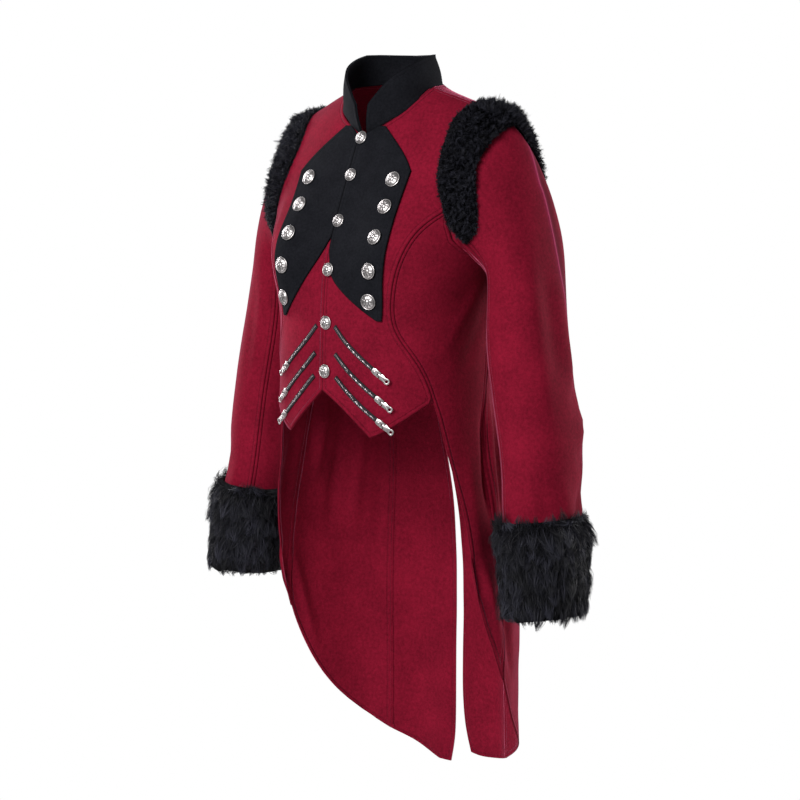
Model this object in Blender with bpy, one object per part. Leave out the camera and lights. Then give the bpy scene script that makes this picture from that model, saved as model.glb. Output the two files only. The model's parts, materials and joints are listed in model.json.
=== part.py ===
"""A cropped tailcoat as it hangs on the body: red wool panels over a hollow form, a black
stand collar and plastrons, fur at the armholes and cuffs, domed buttons and six short zips.

Frame: metres, +Z up, the front faces -Y, the wearer's left is +X.  The origin lies on the
middle plane at the height where the shoulder seams meet the collar, on the body's axis.
"""

import math
from collections import namedtuple

import bmesh
import bpy
import numpy as np
from mathutils import Matrix, Vector

# ---------------------------------------------------------------- driving sizes (metres)
CLOTH = 0.0020              # wall of the wool panels and sleeves
COLLAR_WALL = 0.0030
PLASTRON_WALL = 0.0016
SEAM_GAP = 0.0003           # between two panels at a seam
LAY_GAP = 0.0006            # between a panel and what lies on it
PLASTRON_GAP = 0.0009       # the plastron bridges the hollow between the busts
FUR_GAP = 0.0014            # the fur's backing over the body
FUR_RIDGE_GAP = 0.0019      # more where it bridges the ridge of the shoulder
FUR_SLEEVE_GAP = 0.0018
CUFF_GAP = 0.0008
COLLAR_GAP = 0.0008         # from the neck seam up to the collar's lower edge
ARMHOLE_GAP = 0.0010        # from the body's armhole edge out to the sleeve head
ARM_CLEARANCE = 0.0022      # least distance from a sleeve to the body
FUR_PILE = 0.0125           # height of the armhole fur at its middle
PLASTRON_BUTTON = 0.0102    # button radii
FRONT_BUTTON = 0.0086
BUTTON_HEIGHT = 0.0045
BUTTON_PROFILE = [(1.00, 0.00), (1.00, 0.30), (0.72, 0.80)]   # parts of the radius and height
BUTTON_SIDES = 14
ZIP_WIDTH = 0.0056
ZIP_HEIGHT = 0.0012
SLIDER = dict(length=0.0120, width=0.0076, height=0.0026, fork=0.0035, slot=0.0036,
              nose_length=0.0030, nose_width=0.7)              # the nose's width is a part of the whole
TAB = dict(length=0.0175, width=0.0078, height=0.0012, tongue=0.0030, hole=0.0019,
           shoulder=0.0030, sides=12, corner=0.90)             # shoulder is the plate's start past the hinge
HINGE_HEIGHT = 0.0015       # of the pull tab's axis over the slider's underside

# ---------------------------------------------------------------- body sections
# One row for each height: half width at the side, the y of the side, front and back, and
# how square the front and back quarters are (2 is an ellipse).
Ring = namedtuple("Ring", "z half_width side_y front_y back_y front_n back_n")
RINGS = [
    Ring(-0.910, 0.1770, 0.010, -0.120, 0.153, 2.20, 2.2),
    Ring(-0.760, 0.1780, 0.010, -0.120, 0.152, 2.20, 2.1),
    Ring(-0.660, 0.1810, 0.010, -0.120, 0.153, 2.20, 2.1),
    Ring(-0.550, 0.1710, 0.010, -0.120, 0.145, 2.20, 2.1),
    Ring(-0.475, 0.1560, 0.008, -0.119, 0.127, 2.20, 2.2),
    Ring(-0.400, 0.1450, 0.006, -0.118, 0.107, 2.25, 2.4),
    Ring(-0.330, 0.1390, 0.006, -0.116, 0.100, 2.40, 2.7),
    Ring(-0.289, 0.1410, 0.010, -0.114, 0.103, 2.40, 2.7),
    Ring(-0.245, 0.1480, 0.015, -0.110, 0.108, 2.50, 2.7),
    Ring(-0.215, 0.1550, 0.018, -0.104, 0.112, 2.50, 2.7),
    Ring(-0.160, 0.1650, 0.025, -0.084, 0.115, 2.60, 2.7),
    Ring(-0.112, 0.1750, 0.030, -0.064, 0.113, 2.80, 2.7),
    Ring(-0.062, 0.1770, 0.031, -0.042, 0.105, 2.10, 2.3),
    Ring(-0.036, 0.1700, 0.030, -0.031, 0.098, 1.75, 2.0),
    Ring(-0.030, 0.1580, 0.028, -0.027, 0.096, 1.65, 1.9),
    Ring(-0.020, 0.1276, 0.024, -0.020, 0.092, 1.60, 1.8),
    Ring(-0.010, 0.0968, 0.020, -0.012, 0.088, 1.60, 1.8),
    Ring(0.000, 0.0660, 0.018, -0.003, 0.083, 1.60, 2.0),
    Ring(0.004, 0.0640, 0.018, 0.000, 0.081, 1.60, 2.0),
]
# The right shoulder hangs a little lower: by how much, and where the drop starts and how far
# it takes to be whole, outward and upward.
RIGHT_DROP = dict(amount=0.0100, from_x=0.045, over_x=0.105, from_z=-0.22, over_z=0.17)
RIGHT_CUFF_RAISE = 0.0090        # and the right forearm is held a little higher
BUST = dict(x=0.088, z=-0.205, reach_x=0.045, reach_z=0.058, lift=0.0175, outward=0.35, forward=0.94)

# Soft folds of the tails: the angle round the body where each starts and where it meets
# the hem, the height it starts at, its half width in degrees and how far it stands out.
Fold = namedtuple("Fold", "start_phi hem_phi start_z spread lift")
FOLD_END_Z = -0.90
FOLD_GROWTH = 0.8           # under 1, a fold opens fast below its start
FOLDS = {
    1: [
        Fold(101, 92, -0.36, 5.0, 0.0060),
        Fold(118, 112, -0.50, 6.0, -0.0045),
        Fold(131, 127, -0.46, 6.0, 0.0060),
        Fold(146, 143, -0.56, 5.0, -0.0045),
        Fold(158, 156, -0.50, 5.0, 0.0055),
        Fold(170, 171, -0.58, 3.5, -0.0050),
    ],
    -1: [
        Fold(102, 94, -0.37, 5.0, 0.0055),
        Fold(117, 114, -0.52, 6.5, -0.0045),
        Fold(134, 130, -0.48, 6.0, 0.0055),
        Fold(148, 147, -0.55, 5.5, -0.0050),
        Fold(163, 161, -0.50, 5.0, 0.0050),
        Fold(173, 173, -0.60, 3.5, -0.0040),
    ],
}

# ---------------------------------------------------------------- cut lines
# Each point is the angle round the body (0 centre front, 90 side, 180 centre back) and z.
Cut = namedtuple("Cut", "phi z")
FRONT_EDGE_PHI = -1.0       # the left front closes just past the middle
NECK_FRONT = [Cut(0, -0.062), Cut(5, -0.0545), Cut(11, -0.047), Cut(21.4, -0.033),
              Cut(38.5, -0.015), Cut(62, -0.004), Cut(90, 0.0)]
NECK_BACK = [Cut(90, 0.0), Cut(112, 0.0015), Cut(135, 0.003), Cut(158, 0.004), Cut(180, 0.004)]
SHOULDER_TIP_Z = -0.036
FRONT_HEM = [Cut(FRONT_EDGE_PHI, -0.380), Cut(7, -0.3965), Cut(15.5, -0.4160), Cut(24.2, -0.4365),
             Cut(33, -0.4275), Cut(43, -0.4140), Cut(52, -0.4020), Cut(61.3, -0.3905)]
PRINCESS = [Cut(61.3, -0.3905), Cut(60.0, -0.376), Cut(56.1, -0.355), Cut(49.0, -0.332),
            Cut(40.5, -0.311), Cut(36.0, -0.292), Cut(34.6, -0.265), Cut(34.8, -0.236),
            Cut(36.4, -0.207), Cut(38.8, -0.185), Cut(44.0, -0.166), Cut(54.5, -0.150)]
SIDE_SEAM = [Cut(88, -0.207), Cut(95, -0.235), Cut(102, -0.275), Cut(106, -0.320), Cut(103, -0.360),
             Cut(97, -0.405), Cut(93, -0.470), Cut(91.5, -0.550), Cut(91.5, -0.620)]
BACK_PRINCESS = [Cut(116.5, -0.135), Cut(126, -0.148), Cut(138, -0.172), Cut(147, -0.208),
                 Cut(153, -0.250), Cut(156.5, -0.300), Cut(157, -0.340), Cut(154.5, -0.400),
                 Cut(151, -0.470), Cut(148, -0.560), Cut(147, -0.680), Cut(147, -0.800)]
SIDE_SEAM_HEM_PHI = 92.5
BACK_PRINCESS_HEM_PHI = 147
# the armhole's four stretches, from the shoulder down the front and up the back
ARMHOLE_UPPER_FRONT = [Cut(90, SHOULDER_TIP_Z), Cut(77, -0.046), Cut(66.5, -0.068), Cut(59.5, -0.095),
                       Cut(55.5, -0.125), Cut(54.5, -0.150)]
ARMHOLE_LOWER_FRONT = [Cut(54.5, -0.150), Cut(58.5, -0.177), Cut(69, -0.198), Cut(88, -0.207)]
ARMHOLE_LOWER_BACK = [Cut(88, -0.207), Cut(103, -0.199), Cut(112.5, -0.172), Cut(116.5, -0.135)]
ARMHOLE_UPPER_BACK = [Cut(116.5, -0.135), Cut(115.0, -0.105), Cut(111, -0.080), Cut(104, -0.058),
                      Cut(90, SHOULDER_TIP_Z)]
# the free edge of each tail, from the front hem's corner to the vent, and the vent's edge
TAIL_EDGE = {
    1: [Cut(61.3, -0.3905), Cut(64.1, -0.410), Cut(67, -0.452), Cut(70, -0.497), Cut(72, -0.540),
        Cut(73.5, -0.590), Cut(76, -0.640), Cut(80, -0.672), Cut(85.6, -0.702), Cut(92.5, -0.7486),
        Cut(101, -0.791), Cut(110, -0.818), Cut(124, -0.8455), Cut(136, -0.867), Cut(147, -0.881),
        Cut(158, -0.8885), Cut(167, -0.8904), Cut(172, -0.887)],
    -1: [Cut(61.3, -0.3905), Cut(65, -0.412), Cut(68.8, -0.452), Cut(72.5, -0.497), Cut(76, -0.540),
         Cut(80.5, -0.585), Cut(85.8, -0.6267), Cut(90.4, -0.6782), Cut(97.2, -0.7228),
         Cut(106, -0.772), Cut(118.4, -0.8153), Cut(133.7, -0.8467), Cut(147, -0.868),
         Cut(156, -0.8800), Cut(165, -0.8940), Cut(172, -0.9035), Cut(177.2, -0.9055)],
}
VENT_EDGE = {
    1: [Cut(180, -0.400), Cut(179.2, -0.500), Cut(177.8, -0.600), Cut(177.2, -0.700),
        Cut(177.3, -0.800), Cut(176.6, -0.845), Cut(174.4, -0.873), Cut(172, -0.887)],
    -1: [Cut(180, -0.400), Cut(179.6, -0.500), Cut(179.2, -0.600), Cut(179.1, -0.700),
         Cut(179.1, -0.800), Cut(179.0, -0.850), Cut(178.6, -0.885), Cut(177.2, -0.9055)],
}
SIDE_CORNER_PHI = {1: 79.0, -1: 81.0}   # where the side panel's long front edge turns to its hem

# panel grids: cells across a panel and along each stretch of its edge
ACROSS = dict(front=7, side=5, side_back=5, back=6)
ALONG = dict(front_neck=7, back_neck=6, upper_armhole=9, princess=13, tail_front=13,
             back_princess=26)

# ---------------------------------------------------------------- sleeve sections
# A row for each section, from below the shoulder to past the wrist: its outermost and
# innermost points, and how far it reaches to the front and to the back.
Section = namedtuple("Section", "out_x out_z in_x in_z front_y back_y")
SLEEVE = [
    Section(0.2340, -0.1950, 0.1605, -0.248, -0.0190, 0.1015),
    Section(0.2400, -0.2450, 0.1590, -0.275, -0.0195, 0.0985),
    Section(0.2490, -0.2980, 0.1560, -0.312, -0.0228, 0.0922),
    Section(0.2590, -0.3480, 0.1640, -0.362, -0.0255, 0.0895),
    Section(0.2695, -0.3980, 0.1745, -0.412, -0.0265, 0.0890),
    Section(0.2795, -0.4590, 0.1845, -0.471, -0.0255, 0.0895),
    Section(0.2790, -0.5050, 0.1890, -0.515, -0.0290, 0.0770),
    Section(0.2860, -0.5480, 0.1960, -0.558, -0.0330, 0.0700),
    Section(0.2900, -0.5900, 0.2040, -0.600, -0.0340, 0.0640),
    Section(0.2950, -0.6520, 0.2100, -0.662, -0.0390, 0.0580),
]
SLEEVE_SQUARENESS = 2.15
SLEEVE_LAST = 8             # the cloth ends at this section, inside the fur
HEAD_ROWS = 5               # rows of the sleeve head, from the armhole to the first section
HEAD_FLARE = 0.48           # how far the head stands out before it turns down
HEAD_SETTLE = 0.90
# The way the cloth leaves the armhole: outward at the armpit and more at the shoulder, to
# the front or back, down, and less so at the shoulder.  And the way it comes to hang.
HEAD_LEAVE = dict(outward=0.20, more_outward=0.80, forward=0.35, down=0.65, less_down=0.35)
HEAD_HANG = (0.10, -0.03, -1.0)
CUFF_RAISE_POWER = 1.5      # the right forearm's raise grows towards the cuff
TOP_SLEEVE = (-6, 10)       # columns from the back seam over the top to the front seam
UNDER_SLEEVE = (10, 22)

# ---------------------------------------------------------------- collar
# From the front edge to the centre back: the angle round the neck seam and the top edge.
CollarStation = namedtuple("CollarStation", "neck_phi top_x top_y top_z")
COLLAR = [
    CollarStation(1.2, 0.0105, -0.0465, -0.0220),
    CollarStation(9.0, 0.0225, -0.0430, -0.0065),
    CollarStation(21.4, 0.0375, -0.0345, 0.0120),
    CollarStation(38.5, 0.0480, -0.0220, 0.0215),
    CollarStation(62.0, 0.0545, -0.0060, 0.0295),
    CollarStation(90.0, 0.0565, 0.0120, 0.0365),
    CollarStation(112.0, 0.0550, 0.0290, 0.0405),
    CollarStation(135.0, 0.0460, 0.0460, 0.0410),
    CollarStation(158.0, 0.0270, 0.0590, 0.0405),
    CollarStation(180.0, 0.0000, 0.0630, 0.0400),
]
COLLAR_BULGE = 0.0025
COLLAR_LEVELS = (0.0, 0.33, 0.67, 1.0)      # rows from the neck seam to the top edge
NECK_MIDDLE_Y = 0.012
BULGE_MIDDLE_Y = 0.018

# ---------------------------------------------------------------- plastron, buttons, zips
# The plastron's outer edge and each side's inner edge, as x for a height z.
Edge = namedtuple("Edge", "z x")
PLASTRON_OUTER = [Edge(-0.292, 0.0805), Edge(-0.275, 0.0830), Edge(-0.248, 0.0865), Edge(-0.215, 0.0905),
                  Edge(-0.190, 0.0910), Edge(-0.152, 0.0885), Edge(-0.124, 0.0895), Edge(-0.106, 0.0910),
                  Edge(-0.100, 0.0875), Edge(-0.0475, 0.0300)]
PLASTRON_INNER = {
    1: [Edge(-0.292, 0.0775), Edge(-0.278, 0.0570), Edge(-0.262, 0.0340), Edge(-0.240, 0.0070),
        Edge(-0.228, 0.0010), Edge(-0.190, -0.0040), Edge(-0.062, -0.0040), Edge(-0.0545, 0.0160),
        Edge(-0.0475, 0.0262)],
    -1: [Edge(-0.292, 0.0775), Edge(-0.261, 0.0510), Edge(-0.238, 0.0345), Edge(-0.2155, 0.0190),
         Edge(-0.200, 0.0105), Edge(-0.190, 0.0060), Edge(-0.062, 0.0060), Edge(-0.0545, 0.0160),
         Edge(-0.0475, 0.0262)],
}
PLASTRON_ROWS = [-0.0500, -0.0560, -0.0640, -0.0780, -0.0920, -0.1050, -0.1200, -0.1380, -0.1560, -0.1740,
                 -0.1900, -0.2060, -0.2200, -0.2320, -0.2440, -0.2560, -0.2680, -0.2800, -0.2900]
PLASTRON_COLUMNS = 7
Spot = namedtuple("Spot", "x z")
PLASTRON_BUTTONS = {
    1: [Spot(0.070, -0.1165), Spot(0.071, -0.150), Spot(0.0715, -0.187), Spot(0.0705, -0.2275),
        Spot(0.0670, -0.2655)],
    -1: [Spot(0.070, -0.1155), Spot(0.071, -0.150), Spot(0.0725, -0.186), Spot(0.0745, -0.2255),
         Spot(0.0755, -0.2660)],
}
PLASTRON_NOTCH_Z = -0.235   # the front buttons above this lie on the plastron
FRONT_BUTTONS = [-0.0655, -0.112, -0.169, -0.229, -0.295, -0.356]
CLOSING_X = 0.0003          # the front buttons' line
# Each zip from its closed end at the front to its slider.
ZIP_CELLS = 9
ZIP_END_CELLS = 12          # finer, for the direction at the slider
ZIP_STEP = (0.0010, -0.0009)    # a short step along a zip, in x and z
ZIPS = {
    "upper": [Spot(0.0150, -0.2990), Spot(0.0310, -0.3165), Spot(0.0510, -0.3340), Spot(0.0700, -0.3500)],
    "middle": [Spot(0.0165, -0.3335), Spot(0.0345, -0.3515), Spot(0.0545, -0.3690), Spot(0.0735, -0.3850)],
    "lower": [Spot(0.0180, -0.3625), Spot(0.0360, -0.3800), Spot(0.0555, -0.3975), Spot(0.0750, -0.4135)],
}

# ---------------------------------------------------------------- materials
Finish = namedtuple("Finish", "colour roughness metallic")
FINISHES = {
    "red_wool": Finish((0.300, 0.010, 0.028, 1.0), 0.85, 0.0),
    "black_velvet": Finish((0.010, 0.010, 0.013, 1.0), 0.80, 0.0),
    "black_fur": Finish((0.012, 0.012, 0.015, 1.0), 0.90, 0.0),
    "silver": Finish((0.620, 0.620, 0.640, 1.0), 0.25, 1.0),
    "dark_zip": Finish((0.120, 0.115, 0.125, 1.0), 0.35, 1.0),
}


# ---------------------------------------------------------------- curves and the body's form
def smooth_through(xs, ys, x):
    """A monotone cubic through a table with rising xs, so nothing overshoots its rows."""
    xs = np.asarray(xs, float)
    ys = np.asarray(ys, float)
    steps = np.diff(xs)
    slopes = np.diff(ys) / steps
    tangents = np.zeros_like(ys)
    tangents[0] = slopes[0]
    tangents[-1] = slopes[-1]
    for i in range(1, len(xs) - 1):
        if slopes[i - 1] * slopes[i] > 0:
            near = 2 * steps[i] + steps[i - 1]
            far = steps[i] + 2 * steps[i - 1]
            tangents[i] = (near + far) / (near / slopes[i - 1] + far / slopes[i])
    x = min(max(x, xs[0]), xs[-1])
    i = min(int(np.searchsorted(xs, x, side="right")) - 1, len(xs) - 2)
    t = (x - xs[i]) / steps[i]
    return ((2 * t**3 - 3 * t**2 + 1) * ys[i] + (t**3 - 2 * t**2 + t) * steps[i] * tangents[i]
            + (3 * t**2 - 2 * t**3) * ys[i + 1] + (t**3 - t**2) * steps[i] * tangents[i + 1])


RING_Z = [ring.z for ring in RINGS]
RING_COLUMNS = {name: [getattr(ring, name) for ring in RINGS] for name in Ring._fields[1:]}


def ring_at(z):
    """The body's section at a height."""
    return Ring(z, **{name: smooth_through(RING_Z, column, z) for name, column in RING_COLUMNS.items()})


def ease(t):
    """A soft step from 0 to 1."""
    t = min(max(t, 0.0), 1.0)
    return t * t * (3 - 2 * t)


def fold_at(side, phi, z):
    """How far the tail's folds stand out at this place."""
    out = 0.0
    for fold in FOLDS[side]:
        reach = (fold.start_z - z) / (fold.start_z - FOLD_END_Z)
        if reach <= 0:
            continue
        reach = min(reach, 1.0)
        middle = fold.start_phi + (fold.hem_phi - fold.start_phi) * reach
        out += fold.lift * reach**FOLD_GROWTH * math.exp(-((phi - middle) / fold.spread)**2)
    return out


def body(side, phi, z):
    """The cloth's outer point at an angle round the body and a height; a phi below 0 is
    just past the middle, on the other side."""
    if phi < 0:
        return body(-side, -phi, z)
    ring = ring_at(z)
    angle = math.radians(phi)
    across = max(math.sin(angle), 0.0)
    along = abs(math.cos(angle))
    if phi < 90:
        x = ring.half_width * across**(2 / ring.front_n)
        y = ring.side_y + (ring.front_y - ring.side_y) * along**(2 / ring.front_n)
        bump = BUST["lift"] * math.exp(-((x - BUST["x"]) / BUST["reach_x"])**2
                                       - ((z - BUST["z"]) / BUST["reach_z"])**2)
        x += BUST["outward"] * bump
        y -= BUST["forward"] * bump
    else:
        x = ring.half_width * across**(2 / ring.back_n)
        y = ring.side_y + (ring.back_y - ring.side_y) * along**(2 / ring.back_n)
    out = fold_at(side, phi, z)
    if out:
        length = math.hypot(x, y - ring.side_y)
        x += out * x / length
        y += out * (y - ring.side_y) / length
    if side < 0:
        z -= (RIGHT_DROP["amount"] * ease((x - RIGHT_DROP["from_x"]) / RIGHT_DROP["over_x"])
              * ease((z - RIGHT_DROP["from_z"]) / RIGHT_DROP["over_z"]))
    return Vector((side * x, y, z))


def body_normal(side, phi, z):
    """The outward direction there."""
    step_phi = 0.6
    step_z = 0.0015
    low_z = max(z - step_z, RING_Z[0])
    high_z = min(z + step_z, RING_Z[-1])
    round_body = body(side, min(phi + step_phi, 180), z) - body(side, phi - step_phi, z)
    upward = body(side, phi, high_z) - body(side, phi, low_z)
    normal = round_body.cross(upward) * side
    return normal.normalized()


def phi_for_x(side, x, z):
    """The angle on the front that has this x."""
    if x < 0:
        return -phi_for_x(-side, -x, z)
    low, high = 0.0, 89.0
    for _ in range(30):
        middle = (low + high) / 2
        if abs(body(side, middle, z).x) < x:
            low = middle
        else:
            high = middle
    return (low + high) / 2


def on_front(side, x, z, lift=0.0):
    """A point of the front at x and z, moved out by lift, and the outward direction."""
    phi = phi_for_x(side, x, z)
    normal = body_normal(side, phi, z)
    return body(side, phi, z) + normal * lift, normal


def nearest_on_body(side, point, phi, z):
    """The body's angle and height nearest to a point, from a first guess."""
    for _ in range(8):
        here = body(side, phi, z)
        over_phi = (body(side, phi + 0.2, z) - here) / 0.2
        over_z = (body(side, phi, z - 0.0008) - here) / -0.0008
        matrix = np.array([list(over_phi), list(over_z)]).T
        step = np.linalg.lstsq(matrix, np.array(point - here), rcond=None)[0]
        phi += float(step[0])
        z = min(z + float(step[1]), RING_Z[-1])
    return phi, z


def spline(cuts, per_cut=10):
    """A smooth curve through cut points (phi, z), as a dense list."""
    points = [np.array(cut, float) for cut in cuts]
    points = [2 * points[0] - points[1]] + points + [2 * points[-1] - points[-2]]
    curve = []
    for i in range(1, len(points) - 2):
        before, start, end, after = points[i - 1:i + 3]
        for k in range(per_cut):
            t = k / per_cut
            curve.append(0.5 * (2 * start + (end - before) * t
                                + (2 * before - 5 * start + 4 * end - after) * t**2
                                + (3 * start - before - 3 * end + after) * t**3))
    curve.append(points[-2])
    return curve


def evenly(side, curve, cells):
    """Cut points spread evenly by real length along a dense curve."""
    places = [body(side, phi, z) for phi, z in curve]
    lengths = np.cumsum([0.0] + [(b - a).length for a, b in zip(places, places[1:])])
    wanted = np.linspace(0.0, lengths[-1], cells + 1)
    phis = np.interp(wanted, lengths, [c[0] for c in curve])
    heights = np.interp(wanted, lengths, [c[1] for c in curve])
    return [np.array((p, z)) for p, z in zip(phis, heights)]


def edge_z(side, phi):
    """The height of the tail's free edge at an angle."""
    return smooth_through([c.phi for c in TAIL_EDGE[side]], [c.z for c in TAIL_EDGE[side]], phi)


def edge_between(side, first_phi, last_phi):
    """The tail's free edge between two angles, as a dense curve."""
    return [np.array((phi, edge_z(side, phi))) for phi in np.linspace(first_phi, last_phi, 40)]


# ---------------------------------------------------------------- meshes
def make_object(name, bm, finish, smooth=True):
    """An object from a bmesh, faces outward, with its own material."""
    bmesh.ops.recalc_face_normals(bm, faces=bm.faces)
    if bm.calc_volume(signed=True) < 0:
        bmesh.ops.reverse_faces(bm, faces=bm.faces)
    mesh = bpy.data.meshes.new(name)
    bm.to_mesh(mesh)
    bm.free()
    if smooth:
        mesh.shade_smooth()
        mesh.set_sharp_from_angle(angle=math.radians(40))
    look = FINISHES[finish]
    material = bpy.data.materials.new(name)
    material.use_nodes = True
    shader = material.node_tree.nodes["Principled BSDF"]
    shader.inputs["Base Color"].default_value = look.colour
    shader.inputs["Roughness"].default_value = look.roughness
    shader.inputs["Metallic"].default_value = look.metallic
    mesh.materials.append(material)
    piece = bpy.data.objects.new(name, mesh)
    bpy.context.scene.collection.objects.link(piece)
    return piece


def split_quads(bm, *quads):
    """Two triangles for each quad, all split on the diagonal that is shorter in the first."""
    a, b, c, d = quads[0]
    turned = (a.co - c.co).length > (b.co - d.co).length
    for corners in quads:
        a, b, c, d = corners[1:] + corners[:1] if turned else corners
        bm.faces.new((a, b, c))
        bm.faces.new((a, c, d))


def wall_between(name, outer, inner, finish, closed=False):
    """A closed wall between two grids of points; a closed one runs round as a tube."""
    rows = len(outer)
    columns = len(outer[0])
    bm = bmesh.new()
    outside = [[bm.verts.new(p) for p in row] for row in outer]
    inside = [[bm.verts.new(p) for p in row] for row in inner]
    across = columns if closed else columns - 1
    for r in range(rows - 1):
        for c in range(across):
            d = (c + 1) % columns
            split_quads(bm, *[(g[r][c], g[r][d], g[r + 1][d], g[r + 1][c]) for g in (outside, inside)])
    for c in range(across):
        d = (c + 1) % columns
        for r in (0, rows - 1):
            split_quads(bm, (outside[r][d], outside[r][c], inside[r][c], inside[r][d]))
    if not closed:
        for r in range(rows - 1):
            for c in (0, columns - 1):
                split_quads(bm, (outside[r][c], outside[r + 1][c], inside[r + 1][c], inside[r][c]))
    return make_object(name, bm, finish)


def grid_normals(grid, outward_hint, closed=False):
    """A direction at each grid point from its neighbours, on the side of outward_hint."""
    rows = len(grid)
    columns = len(grid[0])
    normals = []
    for r in range(rows):
        line = []
        for c in range(columns):
            if closed:
                along = grid[r][(c + 1) % columns] - grid[r][c - 1]
            else:
                along = grid[r][min(c + 1, columns - 1)] - grid[r][max(c - 1, 0)]
            down = grid[min(r + 1, rows - 1)][c] - grid[max(r - 1, 0)][c]
            normal = along.cross(down).normalized()
            if normal.dot(outward_hint(grid[r][c], r)) < 0:
                normal.negate()
            line.append(normal)
        normals.append(line)
    return normals


def pull_back(grid, side_name, distance):
    """Moves one edge of a grid in by a distance, towards its next row or column."""
    rows = len(grid)
    columns = len(grid[0])
    if side_name in ("first_column", "last_column"):
        edge, inward = (0, 1) if side_name == "first_column" else (columns - 1, columns - 2)
        for r in range(rows):
            grid[r][edge] = grid[r][edge] + (grid[r][inward] - grid[r][edge]).normalized() * distance
    else:
        edge, inward = (0, 1) if side_name == "first_row" else (rows - 1, rows - 2)
        for c in range(columns):
            grid[edge][c] = grid[edge][c] + (grid[inward][c] - grid[edge][c]).normalized() * distance


# ---------------------------------------------------------------- panels
def patch(first, last, start, end):
    """Fills the area between four edges given as cut points: first and last run along the
    rows' ends, start and end are the outer rows."""
    rows = len(first)
    columns = len(start)
    grid = []
    for r in range(rows):
        v = r / (rows - 1)
        line = []
        for c in range(columns):
            u = c / (columns - 1)
            ruled = (1 - u) * first[r] + u * last[r] + (1 - v) * start[c] + v * end[c]
            corners = ((1 - u) * (1 - v) * start[0] + u * (1 - v) * start[-1]
                       + (1 - u) * v * end[0] + u * v * end[-1])
            line.append(ruled - corners)
        grid.append(line)
    return grid


def panel(name, side, cuts, seams):
    """A wool panel: the cut points on the body, its wall inward, with its seams drawn back."""
    outer = [[body(side, phi, z) for phi, z in row] for row in cuts]
    inner = [[body(side, phi, z) - body_normal(side, phi, z) * CLOTH for phi, z in row] for row in cuts]
    for seam in seams:
        pull_back(outer, seam, SEAM_GAP / 2)
        pull_back(inner, seam, SEAM_GAP / 2)
    return wall_between(name, outer, inner, "red_wool")


def armhole_stretch(side, name):
    """One stretch of the armhole, evenly spaced."""
    cuts, cells = {
        "upper_front": (ARMHOLE_UPPER_FRONT, ALONG["upper_armhole"]),
        "lower_front": (ARMHOLE_LOWER_FRONT, ACROSS["side"]),
        "lower_back": (ARMHOLE_LOWER_BACK, ACROSS["side_back"]),
        "upper_back": (ARMHOLE_UPPER_BACK, ALONG["upper_armhole"]),
    }[name]
    return evenly(side, spline(cuts), cells)


def shoulder_seam(side, cells):
    """From the collar to the shoulder tip."""
    return evenly(side, [np.array((90.0, z)) for z in np.linspace(0.0, SHOULDER_TIP_Z, 30)], cells)


def side_seam(side):
    """From the armhole to the tail's edge."""
    bottom = Cut(SIDE_SEAM_HEM_PHI, edge_z(side, SIDE_SEAM_HEM_PHI))
    return evenly(side, spline(SIDE_SEAM + [bottom]), ALONG["princess"] + ALONG["tail_front"])


def back_princess(side):
    """From the armhole down to the tail's hem."""
    bottom = Cut(BACK_PRINCESS_HEM_PHI, edge_z(side, BACK_PRINCESS_HEM_PHI))
    return evenly(side, spline(BACK_PRINCESS + [bottom]), ALONG["back_princess"])


def make_front(side, name):
    """The front from the closing edge to the princess seam, with its pointed hem."""
    middle = FRONT_EDGE_PHI * side
    hem = [np.array(cut, float) for cut in FRONT_HEM]
    hem[0] = np.array((middle, hem[0][1]))
    closing_cells = ALONG["princess"] + ALONG["upper_armhole"] - ALONG["front_neck"]
    neck_z = NECK_FRONT[0].z
    closing = evenly(side, [np.array((middle, z)) for z in np.linspace(FRONT_HEM[0].z, neck_z, 40)],
                     closing_cells)
    neck = evenly(side, spline([Cut(middle, neck_z)] + NECK_FRONT[1:]), ALONG["front_neck"])
    princess = evenly(side, spline(PRINCESS), ALONG["princess"])
    armhole = armhole_stretch(side, "upper_front")[::-1]
    cuts = patch(closing + neck[1:], princess + armhole[1:], hem, shoulder_seam(side, ACROSS["front"]))
    panel(name, side, cuts, ["first_column", "last_column", "last_row"])


def make_side(side, name):
    """The side panel under the arm, which runs on as the front of the tail."""
    princess = evenly(side, spline(PRINCESS), ALONG["princess"])[::-1]
    corner = SIDE_CORNER_PHI[side]
    tail_front = evenly(side, edge_between(side, PRINCESS[0].phi, corner), ALONG["tail_front"])
    hem = evenly(side, edge_between(side, corner, SIDE_SEAM_HEM_PHI), ACROSS["side"])
    cuts = patch(princess + tail_front[1:], side_seam(side), armhole_stretch(side, "lower_front"), hem)
    panel(name, side, cuts, ["first_column", "last_column"])


def make_side_back(side, name):
    """The panel between the side seam and the back princess seam."""
    hem = evenly(side, edge_between(side, SIDE_SEAM_HEM_PHI, BACK_PRINCESS_HEM_PHI), ACROSS["side_back"])
    cuts = patch(side_seam(side), back_princess(side), armhole_stretch(side, "lower_back"), hem)
    panel(name, side, cuts, ["first_column", "last_column"])


def make_back(side, name):
    """The back from the centre seam to the princess seam, open in a vent below the waist."""
    hem = evenly(side, edge_between(side, BACK_PRINCESS_HEM_PHI, TAIL_EDGE[side][-1].phi),
                 ACROSS["back"])[::-1]
    vent = spline(VENT_EDGE[side])[::-1]
    seam = [np.array((180.0, z)) for z in np.linspace(VENT_EDGE[side][0].z, NECK_BACK[-1].z, 40)]
    centre_cells = ALONG["back_princess"] + ALONG["upper_armhole"] - ALONG["back_neck"]
    centre = evenly(side, vent + seam[1:], centre_cells)
    neck = evenly(side, spline(NECK_BACK)[::-1], ALONG["back_neck"])
    outer_edge = back_princess(side)[::-1] + armhole_stretch(side, "upper_back")[1:]
    cuts = patch(centre + neck[1:], outer_edge, hem, shoulder_seam(side, ACROSS["back"]))
    panel(name, side, cuts, ["first_column", "last_column", "last_row"])


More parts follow.
